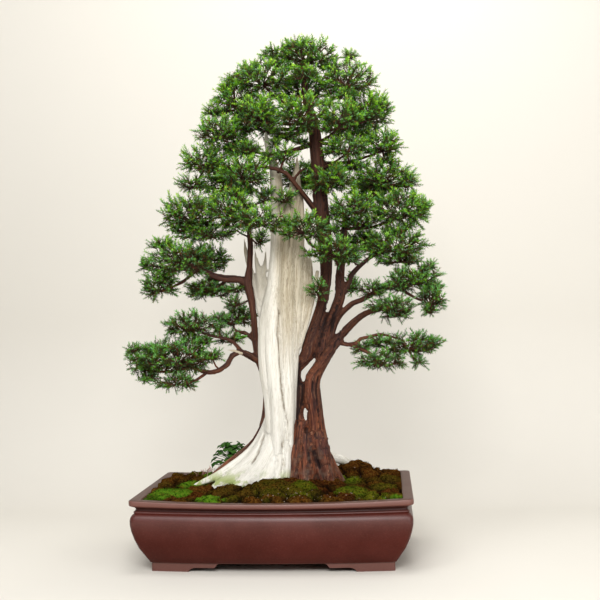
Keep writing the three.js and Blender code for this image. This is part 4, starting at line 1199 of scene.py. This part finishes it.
class JuniperFoliage(bpy.types.PropertyGroup):
    """Sizes, numbers and colours of the foliage."""
    needle: FloatProperty(
        name="Needle", description="Length of a needle", subtype="DISTANCE", default=0.0082)
    width: FloatProperty(
        name="Needle width", description="Width of a needle", subtype="DISTANCE", default=0.0022)
    density: FloatProperty(
        name="Density", description="Sprigs for each square centimetre of pad", default=0.8)
    colour: FloatVectorProperty(
        name="Needles", description="Colour of grown needles", subtype="COLOR", default=(0.13, 0.385, 0.006))
    tip_colour: FloatVectorProperty(
        name="Tips", description="Colour of fresh tips", subtype="COLOR", default=(0.42, 0.72, 0.06))


def add_needle(bm, tip_layer, base, direction, length, width, tip):
    """A slim three-sided needle that leaves its base in that direction."""
    shape = Vector((width, width * NEEDLE_FLATNESS, length))
    matrix = Matrix.LocRotScale(base + direction * length / 2, UP.rotation_difference(direction), shape)
    cone = bmesh.ops.create_cone(
        bm, cap_ends=False, segments=3, radius1=0.5, radius2=0.001, depth=1, matrix=matrix)
    bmesh.ops.remove_doubles(bm, verts=cone["verts"], dist=0.00002)
    for vert in cone["verts"]:
        if vert.is_valid:
            vert[tip_layer] = tip


def sprig_pattern(draw, length, sizes):
    """A sprig along +Z with whorls of three needles that lean closer towards its tip."""
    bm = bmesh.new()
    layer = bm.verts.layers.float.new("tip")
    whorls = max(3, round(length / WHORL_STEP))
    end = Vector((draw.uniform(-0.15, 0.15), draw.uniform(-0.15, 0.15), 1)) * length
    for whorl in range(whorls):
        share = (whorl + 0.7) / whorls
        for leaf in range(3):
            angle = leaf * math.tau / 3 + whorl * 1.1 + draw.uniform(-0.35, 0.35)
            lean = math.radians(64 - 34 * share + draw.uniform(-16, 16))
            level = math.sin(lean)
            aim = Vector((math.cos(angle) * level, math.sin(angle) * level, math.cos(lean)))
            size = sizes.needle * (1.1 - 0.35 * share) * draw.uniform(0.8, 1.1)
            add_needle(bm, layer, end * share, aim, size, sizes.width, share)
    sweep(bm, [(Vector(), 0.0006), (end, 0.0003)], 3)
    return mesh_from("sprig", bm)


# How a pad grows: in millimetres, or as shares of its half sizes
SPRIG_REACH = 24
SPRIG_LIMIT = 1.12
SPRIG_TRIALS = 3
TWIG_STEP = 18
TWIG_LIMIT = 0.8
SHORTEST_TWIG = 4
PAD_FRINGE = 17
FEWEST_BOUGHS = 5
SPRIGS_PER_BOUGH = 10
# The painted light and shade that scale a sprig's tip value by its height in the pad
PAD_LIGHT = 0.78
PAD_SHADE = 0.35
LOWEST_CARRIER = 290
HIGHEST_BOUGH = 0.96
BOUGH_FALL = 1.78

# The sprigs on a bough and on a side twig: how many, and from which share of its length
BOUGH_SPRIGS = (4, 0.45)
SIDE_SPRIGS = (3, 0.3)


class Pad:
    """One pad of foliage in the making: its twigs and its sprigs, in millimetres until they are stamped."""

    def __init__(self, draw, patterns):
        self.draw = draw
        self.patterns = patterns
        self.wood = bmesh.new()
        self.needles = bmesh.new()
        self.tip_layer = self.needles.verts.layers.float.new("tip")

    def settle(self, at, half):
        """Moves on to the body of foliage with that middle and those half sizes."""
        self.middle = Vector(at)
        self.half = Vector(half)
        self.hub = self.middle - UP * self.half.z * 0.35

    def reach(self, place):
        """How far out of the pad's middle a place is: 1 on its outline."""
        return math.hypot(*[(place[axis] - self.middle[axis]) / self.half[axis] for axis in range(3)])

    def jitter(self):
        return Vector(self.draw.uniform(-1, 1) for _ in range(3))

    def twig(self, start, end, first, last, sag, sides):
        """Adds a twig that sags a little, and gives the places along it."""
        span = (end - start).length
        bow = start.lerp(end, 0.5) - UP * span * sag + self.jitter() * span * 0.05
        route = [(*start, first), (*bow, (first + last) / 2), (*end, last)]
        sweep(self.wood, smooth_route(route, TWIG_STEP), sides)
        return [start, bow, end]

    def sprig(self, base, along):
        """Stamps a sprig that points out of the pad, stays near its outline and gets painted shade low in the
        pad.
        """
        out = Vector((base[axis] - self.middle[axis]) / self.half[axis] ** 2 for axis in range(3))
        out = out.normalized() if out.length else UP
        for trial in range(SPRIG_TRIALS):
            way = (out * 0.6 + UP * 0.28 + along * 0.3 + self.jitter() * 0.95).normalized()
            scale = self.draw.uniform(0.75, 1.15) * (1 - 0.2 * trial)
            if self.reach(base + way * SPRIG_REACH * scale) < SPRIG_LIMIT:
                break
        turn = UP.rotation_difference(way) @ Quaternion(UP, self.draw.uniform(0, math.tau))
        matrix = Matrix.LocRotScale(spot(*base), turn, Vector((scale,) * 3))
        # Painted shade: sprigs low in the pad get a lower tip value, so their needles are coloured darker and
        # browner
        light = PAD_LIGHT + 0.5 * (base.z - self.middle.z) / self.half.z
        for vert in stamp(self.needles, self.draw.choice(self.patterns), matrix):
            vert[self.tip_layer] *= min(1, max(PAD_SHADE, light))

    def sprigs_on(self, places, count, first):
        start, bow, end = places
        along = (end - start).normalized()
        for index in range(count):
            share = first + (1 - first) * (index + self.draw.uniform(0.2, 1)) / count
            base = start.lerp(bow, share * 2) if share < 0.5 else bow.lerp(end, min(1, share * 2 - 1))
            self.sprig(base, along)

    def grow(self, density):
        """Fills the pad with boughs, each with side twigs, and sprigs along them all."""
        a, b, c = self.half / 10
        total = 4 * (a * b + a * c + b * c) * density
        boughs = max(FEWEST_BOUGHS, round(total / SPRIGS_PER_BOUGH))
        for index in range(boughs):
            up = HIGHEST_BOUGH - (index + 0.5) / boughs * BOUGH_FALL
            angle = index * GOLDEN_TURN + self.draw.uniform(-0.3, 0.3)
            level = math.sqrt(1 - up * up)
            aim = Vector((level * math.cos(angle), level * math.sin(angle), up))
            edge = Vector(aim[axis] * self.half[axis] for axis in range(3))
            edge *= self.draw.uniform(0.92, 1.08)
            end = self.middle + edge * max(0.35, 1 - PAD_FRINGE / edge.length)
            bough = self.twig(self.hub, end, 1.3, 0.8, 0.1, 3)
            self.sprigs_on(bough, *BOUGH_SPRIGS)
            for side in (-1, 1):
                start = bough[1].lerp(end, self.draw.uniform(0, 0.6))
                turn = Quaternion(UP, side * self.draw.uniform(0.7, 1.2))
                way = turn @ (end - self.hub).normalized() + self.jitter() * 0.25
                length = self.draw.uniform(0.3, 0.5) * edge.length
                tip = start + way * length
                while self.reach(tip) > TWIG_LIMIT and length > SHORTEST_TWIG:
                    length *= 0.8
                    tip = start + way * length
                self.sprigs_on(self.twig(start, tip, 0.9, 0.6, 0.05, 3), *SIDE_SPRIGS)


class JUNIPER_OT_foliage(bpy.types.Operator):
    """Makes each pad from twigs that carry sprigs of needles, all round and to its outline"""
    bl_idname = "juniper.foliage"
    bl_label = "Foliage"

    def execute(self, context):
        sizes = context.scene.juniper_foliage
        draw = random.Random(7)
        material = foliage_finish(sizes.colour, sizes.tip_colour)
        patterns = [sprig_pattern(draw, SHORTEST_SPRIG + MM * index, sizes) for index in range(SPRIG_KINDS)]
        limbs = [Vector(point[:3]) for stems in (LIVE_STEMS, LIVE_VEIN) for route in stems.values()
                 for point in route[2:] if point[2] > LOWEST_CARRIER]
        twigs = bmesh.new()
        grain = twigs.verts.layers.float_vector.new("grain")
        hollow = twigs.verts.layers.float.new("hollow")
        for name, (at, half, start) in PADS.items():
            pad = Pad(draw, patterns)
            pad.settle(at, half)
            root = Vector(start) if start else min(limbs, key=lambda place: (place - pad.hub).length)
            span = (pad.hub - root).length
            pad.twig(root, pad.hub, 2.2 + span * 0.014, 1.6, 0.09 if start else 0, 7)
            pad.grow(sizes.density)
            carriers = limbs + [pad.hub]
            for place, size in PAD_FILLS.get(name, []):
                pad.settle(place, size)
                root = min(carriers, key=lambda carrier: (carrier - pad.hub).length)
                pad.twig(root, pad.hub, 1.8, 1.3, 0.06, 5)
                pad.grow(sizes.density)
            add_bmesh(twigs, pad.wood)
            finished_piece("pad_" + name, pad.needles, material, "foliage", "foliage_" + name)
        for vert in twigs.verts:
            vert[grain] = vert.co
            # The twigs' value is too low for the bark to paint any shade on them
            vert[hollow] = 0.35
        bmesh.ops.recalc_face_normals(twigs, faces=twigs.faces)
        finished_piece("fine_twigs", twigs, bpy.data.materials["juniper bark"], "bark")
        return {"FINISHED"}


# Moss, soil and what grows in them

def moss_layers(bm):
    """Adds what the moss's colour is read from: its kind, and how near the top of its clump a point is, which
    sets its painted shade.
    """
    return bm.verts.layers.float.new("kind"), bm.verts.layers.float.new("dome")


def moss_tuft(draw, blades, spread):
    """A tuft of short upright moss stems, in metres."""
    bm = bmesh.new()
    moss_layers(bm)
    for _ in range(blades):
        height = draw.uniform(0.0022, 0.0044)
        place = Vector((draw.uniform(-spread, spread), draw.uniform(-spread, spread), height * 0.3))
        axis = Vector((draw.uniform(-1, 1), draw.uniform(-1, 1), 0.01)).normalized()
        matrix = Matrix.LocRotScale(place, Quaternion(axis, draw.uniform(0, 0.6)), Vector((1, 1, height)))
        bmesh.ops.create_cone(
            bm, cap_ends=False, segments=3, radius1=0.0006, radius2=0.000002, depth=1, matrix=matrix)
    bmesh.ops.remove_doubles(bm, verts=bm.verts, dist=0.00001)
    return mesh_from("tuft", bm)


def add_tufts(bm, tufts, draw, places):
    """Stamps tufts on places of (point, kind, dome), and colours them as the moss there."""
    kind_layer, dome_layer = bm.verts.layers.float["kind"], bm.verts.layers.float["dome"]
    for point, kind, dome in places:
        turn = Quaternion(UP, draw.uniform(0, math.tau))
        for vert in stamp(bm, draw.choice(tufts), Matrix.LocRotScale(point, turn, Vector((1, 1, 1)))):
            vert[kind_layer] = min(1, max(0, kind + 0.1))
            vert[dome_layer] = max(dome, 0.5)


class JuniperMoss(bpy.types.PropertyGroup):
    """Sizes of the moss."""
    clump: FloatProperty(name="Clump", description="Width of a moss clump", subtype="DISTANCE", default=0.036)
    relief: FloatProperty(
        name="Relief", description="Height of a moss clump", subtype="DISTANCE", default=0.015)
    tufts: IntProperty(name="Tufts", description="Tufts of moss stems on the carpet", default=1500)


def clump_at(x, y, width):
    """How near a point in metres is to the middle of its moss clump, from 0 to 1, and the clump's kind."""
    distances, middles = noise.voronoi(Vector((x / width, y / width, 0.5)))
    edge = distances[1] - distances[0]
    near = min(1, max(0, edge / 0.7))
    kind = noise.cell(middles[0] * 7.3) * 0.5 + 0.5
    return near, kind


def moss_surface(x, y, sizes):
    """Height in metres, kind and dome of the moss at a place in millimetres."""
    warp = noise.noise(Vector((x * 0.03, y * 0.03, 7))) * 0.012
    near, kind = clump_at(x * MM + warp, y * MM - warp, sizes.clump)
    dome = math.sqrt(1 - (1 - near) ** 2)
    side = noise.noise(Vector((x * 0.012, y * 0.012, 3)))
    kind = min(0.7, max(0.04, 0.08 + 0.4 * kind + 0.2 * side))
    for px, py, wide, deep, patch in MOSS_PATCHES:
        off = math.hypot((x - px) / wide, (y - py) / deep) + warp * 25
        share = min(1, max(0, (1.15 - off) / 0.25))
        kind += (patch - kind) * share
    small, _ = clump_at(x * MM + side * 0.01, y * MM, sizes.clump * 0.3)
    rough = noise.noise(Vector((x * 0.25, y * 0.25, 1))) * 0.0014
    height = moss_height(x, y) * MM + sizes.relief * (dome - 0.62) + 0.0026 * small + rough
    return height, kind, dome * (0.75 + 0.25 * small)


class JUNIPER_OT_moss(bpy.types.Operator):
    """Makes the carpet of moss clumps over the soil, with its short moss stems"""
    bl_idname = "juniper.moss"
    bl_label = "Moss carpet"

    def execute(self, context):
        sizes = context.scene.juniper_moss
        draw = random.Random(3)
        bm = bmesh.new()
        kind_layer, dome_layer = moss_layers(bm)
        bmesh.ops.create_grid(bm, x_segments=MOSS_STEPS[0], y_segments=MOSS_STEPS[1], size=1)
        half_width = POT_WIDTH / 2 - RIM_WIDTH
        half_depth = POT_DEPTH / 2 - RIM_WIDTH
        for vert in bm.verts:
            x = vert.co.x * half_width
            y = vert.co.y * (half_depth + LONG_SIDE_BOW * (1 - vert.co.x ** 2))
            height, kind, dome = moss_surface(x, y, sizes)
            vert.co = spot(x, y, height / MM)
            vert[kind_layer] = kind
            vert[dome_layer] = dome
        rim = [edge for edge in bm.edges if edge.is_boundary]
        skirt, hem = extruded(bm, rim)
        for vert in skirt:
            vert.co.z = MOSS_UNDERSIDE * MM
        bmesh.ops.contextual_create(bm, geom=hem)
        bmesh.ops.recalc_face_normals(bm, faces=bm.faces)
        tufts = [moss_tuft(draw, 6, 0.004) for _ in range(5)]
        places = []
        for _ in range(sizes.tufts):
            x = draw.uniform(-half_width + 4, half_width - 4)
            y = draw.uniform(-half_depth + 3, half_depth - 3)
            height, kind, dome = moss_surface(x, y, sizes)
            if dome > 0.5:
                places.append((spot(x, y, height / MM - 0.5), kind, dome))
        add_tufts(bm, tufts, draw, places)
        finished_piece("moss_bed", bm, moss_finish(), "moss", "moss_carpet")
        return {"FINISHED"}


class JUNIPER_OT_cushions(bpy.types.Operator):
    """Makes the rounder cushions of brighter moss"""
    bl_idname = "juniper.cushions"
    bl_label = "Moss cushions"

    def execute(self, context):
        draw = random.Random(5)
        material = bpy.data.materials["living moss"]
        tufts = [moss_tuft(draw, 6, 0.003) for _ in range(4)]
        for name, (x, y, wide, deep, high, kind) in CUSHIONS.items():
            bm = bmesh.new()
            kind_layer, dome_layer = moss_layers(bm)
            bmesh.ops.create_uvsphere(bm, u_segments=48, v_segments=26, radius=1)
            places = []
            for vert in bm.verts:
                bumps = noise.noise(vert.co * 3.1 + Vector((x, y, 0))) * 0.09
                fuzz = noise.noise(vert.co * 11) * 0.035
                out = vert.co * (1 + bumps + fuzz)
                px, py = x + out.x * wide, y + out.y * deep
                point = spot(px, py, moss_height(px, py) - 1 + out.z * (high * 1.45 if out.z > 0 else 5))
                if out.z > 0.1 and draw.random() < 0.28:
                    places.append((point - UP * 0.0008, kind, 0.9))
                vert.co = point
                vert[kind_layer] = min(1, kind + 0.16 * noise.noise(out * 2.4))
                # The dome value falls towards the cushion's foot, which gives it painted shade there
                vert[dome_layer] = min(0.9, max(0.1, 0.35 + out.z * 0.9 + fuzz * 6))
            add_tufts(bm, tufts, draw, places)
            finished_piece(name.replace("moss_", "") + "_moss", bm, material, "moss_green", name)
        return {"FINISHED"}


class JUNIPER_OT_soil(bpy.types.Operator):
    """Finishes the soil and the drain screens, and scatters loose grit over the front of the moss"""
    bl_idname = "juniper.soil"
    bl_label = "Soil and drain screens"

    def execute(self, context):
        plastic = plastic_finish()
        finishes = {"soil": soil_finish(), "drain_screen_left": plastic, "drain_screen_right": plastic}
        for name, material in finishes.items():
            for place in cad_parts[name].material_slots:
                place.material = material
        draw = random.Random(11)
        bm = bmesh.new()
        for _ in range(GRIT_GRAINS):
            x = draw.gauss(45, 62)
            y = draw.uniform(-150, -112) if draw.random() < 0.6 else draw.uniform(-150, 130)
            if abs(x) > 195 or math.hypot(x - 30, y) < 70:
                continue
            size = draw.uniform(0.6, 1.5) * MM
            height = moss_surface(x, y, context.scene.juniper_moss)[0] / MM + 0.3
            axis = Vector((1, draw.random(), draw.random())).normalized()
            turn = Quaternion(axis, draw.uniform(0, 6))
            shape = Vector((size, size * draw.uniform(0.7, 1.2), size * 0.7))
            matrix = Matrix.LocRotScale(spot(x, y, height), turn, shape)
            bmesh.ops.create_icosphere(bm, subdivisions=1, radius=1, matrix=matrix)
        finished_piece("loose_grit", bm, grit_finish(), "soil")
        return {"FINISHED"}


def lobed_leaf(bm, matrix):
    """A leaf of five lobes, folded along its middle and thickened a little."""
    outline = bmesh.ops.create_circle(bm, cap_ends=True, cap_tris=True, segments=30, radius=1)["verts"]
    for vert in outline:
        angle = math.atan2(vert.co.y, vert.co.x)
        reach = vert.co.length
        lobe = 0.62 + 0.38 * abs(math.cos(2.5 * angle)) ** 0.7
        fold = 0.25 * abs(vert.co.y) * reach - 0.2 * vert.co.x ** 2
        vert.co = Vector((vert.co.x * lobe, vert.co.y * lobe, fold))
    bmesh.ops.transform(bm, matrix=matrix, verts=outline)
    faces = list({face for vert in outline for face in vert.link_faces})
    bmesh.ops.solidify(bm, geom=faces, thickness=0.0004)


class JUNIPER_OT_accent(bpy.types.Operator):
    """Makes the small dark fern behind the trunk and the red seedlings beside it"""
    bl_idname = "juniper.accent"
    bl_label = "Accent plant"

    def execute(self, context):
        draw = random.Random(13)
        x, y = ACCENT_AT
        foot = moss_height(x, y)
        bm = bmesh.new()
        for index in range(FERN_LEAVES):
            share = (index + 0.5) / FERN_LEAVES
            angle = index * GOLDEN_TURN
            reach = FERN_SPREAD * math.sqrt(share)
            rise = FERN_HEIGHT - FERN_DROOP * share * share + draw.uniform(-6, 5)
            tip = Vector((x + reach * math.cos(angle), y + reach * math.sin(angle), foot + rise))
            bend = Vector((x, y, foot + rise * 0.75)).lerp(Vector((*tip.xy, foot + rise * 0.75)), 0.3)
            sweep(bm, smooth_route([(x, y, foot - 2, 0.7), (*bend, 0.6), (*tip, 0.5)], 8), 4)
            tilt = Quaternion(UP, angle) @ Quaternion(Vector((0, 1, 0)), draw.uniform(0.1, 0.9))
            size = draw.uniform(4, 7) * MM
            lobed_leaf(bm, Matrix.LocRotScale(spot(*tip), tilt, Vector((size, size, size))))
        finished_piece("fern", bm, fern_finish(), "accent", "accent_plant")
        stems = bmesh.new()
        for _ in range(SEEDLINGS):
            sx, sy = draw.gauss(SEEDLINGS_AT[0], 9), draw.gauss(SEEDLINGS_AT[1], 10)
            base = moss_height(sx, sy) - 1
            high = draw.uniform(9, 17)
            sweep(stems, [
                (spot(sx, sy, base), 0.0005),
                (spot(sx + draw.uniform(-3, 3), sy, base + high * 0.6), 0.0004),
                (spot(sx + draw.uniform(-6, 6), sy + draw.uniform(-3, 3), base + high), 0.0003),
            ], 4)
        finished_piece("seedlings", stems, seedling_finish(), "accent")
        return {"FINISHED"}


# Stage

# The camera, in millimetres from the pot's middle and in degrees
CAMERA_PLACE = (188, -1893, 401)
CAMERA_YAW = 4.43
CAMERA_PITCH = 0.91
CAMERA_ROLL = -1.06
CAMERA_LENS = 66.6
CAMERA_SENSOR = 36

# The floor and backdrop, and the lights as (place, what each points at, width), in metres
FLOOR_HALF = 2.6
WALL_PLACE = 0.8
WALL_HEIGHT = 2.6
WALL_BEND = 0.4
TREE_MIDDLE = (0, 0, 0.4)
LIGHTS = {
    "key": ((-0.9, -1.5, 2.1), TREE_MIDDLE, 1.2),
    "fill": ((1.7, -1.4, 0.9), TREE_MIDDLE, 1.4),
    "front": ((0.1, -2.2, 1.45), TREE_MIDDLE, 1),
    "back": ((0.25, 0.35, 1.7), TREE_MIDDLE, 0.6),
    "top": ((0, -0.35, 2.2), (0, -0.1, 0.1), 1),
}


class JuniperStage(bpy.types.PropertyGroup):
    """Light and backdrop."""
    key: FloatProperty(
        name="Key light", description="Power of the main soft light", subtype="POWER", default=20)
    fill: FloatProperty(
        name="Fill light", description="Power of the side light", subtype="POWER", default=19)
    front: FloatProperty(
        name="Front light", description="Power of the light over the camera", subtype="POWER", default=44)
    top: FloatProperty(
        name="Top light", description="Power of the light overhead", subtype="POWER", default=16)
    back: FloatProperty(
        name="Back light", description="Power of the light above the back", subtype="POWER", default=5)
    ambient: FloatProperty(
        name="Ambient", description="Strength of the light from all round", default=0.17)
    colour: FloatVectorProperty(
        name="Backdrop", description="Colour of floor and backdrop", subtype="COLOR",
        default=(0.67, 0.64, 0.58))


class JUNIPER_OT_stage(bpy.types.Operator):
    """Makes the camera, the soft lights, and a pale floor that curves up into a backdrop"""
    bl_idname = "juniper.stage"
    bl_label = "Stage"

    def execute(self, context):
        sizes = context.scene.juniper_stage
        scene = context.scene
        yaw, pitch, roll = (math.radians(angle) for angle in (CAMERA_YAW, CAMERA_PITCH, CAMERA_ROLL))
        ahead = Vector((-math.sin(yaw) * math.cos(pitch), math.cos(yaw) * math.cos(pitch), math.sin(pitch)))
        right = Vector((math.cos(yaw), math.sin(yaw), 0))
        over = right.cross(ahead)
        level = right * math.cos(roll) + over * math.sin(roll)
        top = over * math.cos(roll) - right * math.sin(roll)
        lens = bpy.data.cameras.new("camera")
        lens.lens = CAMERA_LENS
        lens.sensor_width = CAMERA_SENSOR
        camera = shown("camera", lens)
        turned = Matrix((level, top, -ahead)).transposed().to_4x4()
        camera.matrix_world = Matrix.Translation(spot(*CAMERA_PLACE)) @ turned
        scene.camera = camera

        bm = bmesh.new()
        bmesh.ops.create_grid(bm, x_segments=1, y_segments=1, size=FLOOR_HALF)
        back = [edge for edge in bm.edges if all(vert.co.y > 0 for vert in edge.verts)]
        for vert in {vert for edge in back for vert in edge.verts}:
            vert.co.y = WALL_PLACE
        bmesh.ops.translate(bm, vec=(0, 0, WALL_HEIGHT), verts=extruded(bm, back)[0])
        bmesh.ops.bevel(
            bm, geom=back, offset=WALL_BEND, segments=24, profile=0.5, affect="EDGES", material=-1)
        bm.normal_update()
        if sum(face.normal.z for face in bm.faces) < 0:
            bmesh.ops.reverse_faces(bm, faces=bm.faces)
        mesh = mesh_from("backdrop", bm)
        mesh.materials.append(backdrop_finish(sizes.colour))
        mesh.shade_smooth()
        backdrop = shown("backdrop", mesh)

        for name, (place, target, width) in LIGHTS.items():
            light = bpy.data.lights.new(name, "AREA")
            light.shape = "DISK"
            light.size = width
            light.energy = getattr(sizes, name)
            lamp = shown(name, light)
            lamp.location = place
            lamp.rotation_euler = (Vector(target) - Vector(place)).to_track_quat("-Z", "Y").to_euler()
        world = bpy.data.worlds.new("studio")
        world.use_nodes = True
        light = world.node_tree.nodes["Background"].inputs
        light["Color"].default_value = (1, 0.985, 0.96, 1)
        light["Strength"].default_value = sizes.ambient
        scene.world = world
        scene.view_settings.view_transform = "Standard"
        return {"FINISHED"}


class JUNIPER_PT_panel(bpy.types.Panel):
    """Lists the pieces of the juniper and their settings"""
    bl_label = "Juniper bonsai"
    bl_idname = "JUNIPER_PT_panel"
    bl_space_type = "VIEW_3D"
    bl_region_type = "UI"
    bl_category = "Juniper"

    def draw(self, context):
        for group in GROUPS:
            settings = getattr(context.scene, group)
            for name in settings.__annotations__:
                self.layout.prop(settings, name)
        for operator in OPERATORS:
            self.layout.operator(operator.bl_idname)


GROUPS = {
    "juniper_pot": JuniperPot,
    "juniper_wood": JuniperWood,
    "juniper_foliage": JuniperFoliage,
    "juniper_moss": JuniperMoss,
    "juniper_stage": JuniperStage,
}
OPERATORS = [
    JUNIPER_OT_stage, JUNIPER_OT_pot, JUNIPER_OT_soil, JUNIPER_OT_moss, JUNIPER_OT_cushions,
    JUNIPER_OT_accent, JUNIPER_OT_deadwood, JUNIPER_OT_live_wood, JUNIPER_OT_foliage,
]


def register():
    for group in GROUPS.values():
        bpy.utils.register_class(group)
    for operator in OPERATORS:
        bpy.utils.register_class(operator)
    bpy.utils.register_class(JUNIPER_PT_panel)
    for name, group in GROUPS.items():
        setattr(bpy.types.Scene, name, PointerProperty(type=group))


def unregister():
    for name in GROUPS:
        delattr(bpy.types.Scene, name)
    bpy.utils.unregister_class(JUNIPER_PT_panel)
    for kind in OPERATORS + list(GROUPS.values()):
        bpy.utils.unregister_class(kind)


def main():
    register()
    bpy.ops.juniper.stage()
    bpy.ops.juniper.pot()
    bpy.ops.juniper.soil()
    bpy.ops.juniper.moss()
    bpy.ops.juniper.cushions()
    bpy.ops.juniper.accent()
    bpy.ops.juniper.deadwood()
    bpy.ops.juniper.live_wood()
    bpy.ops.juniper.foliage()


if __name__ == "__main__":
    main()
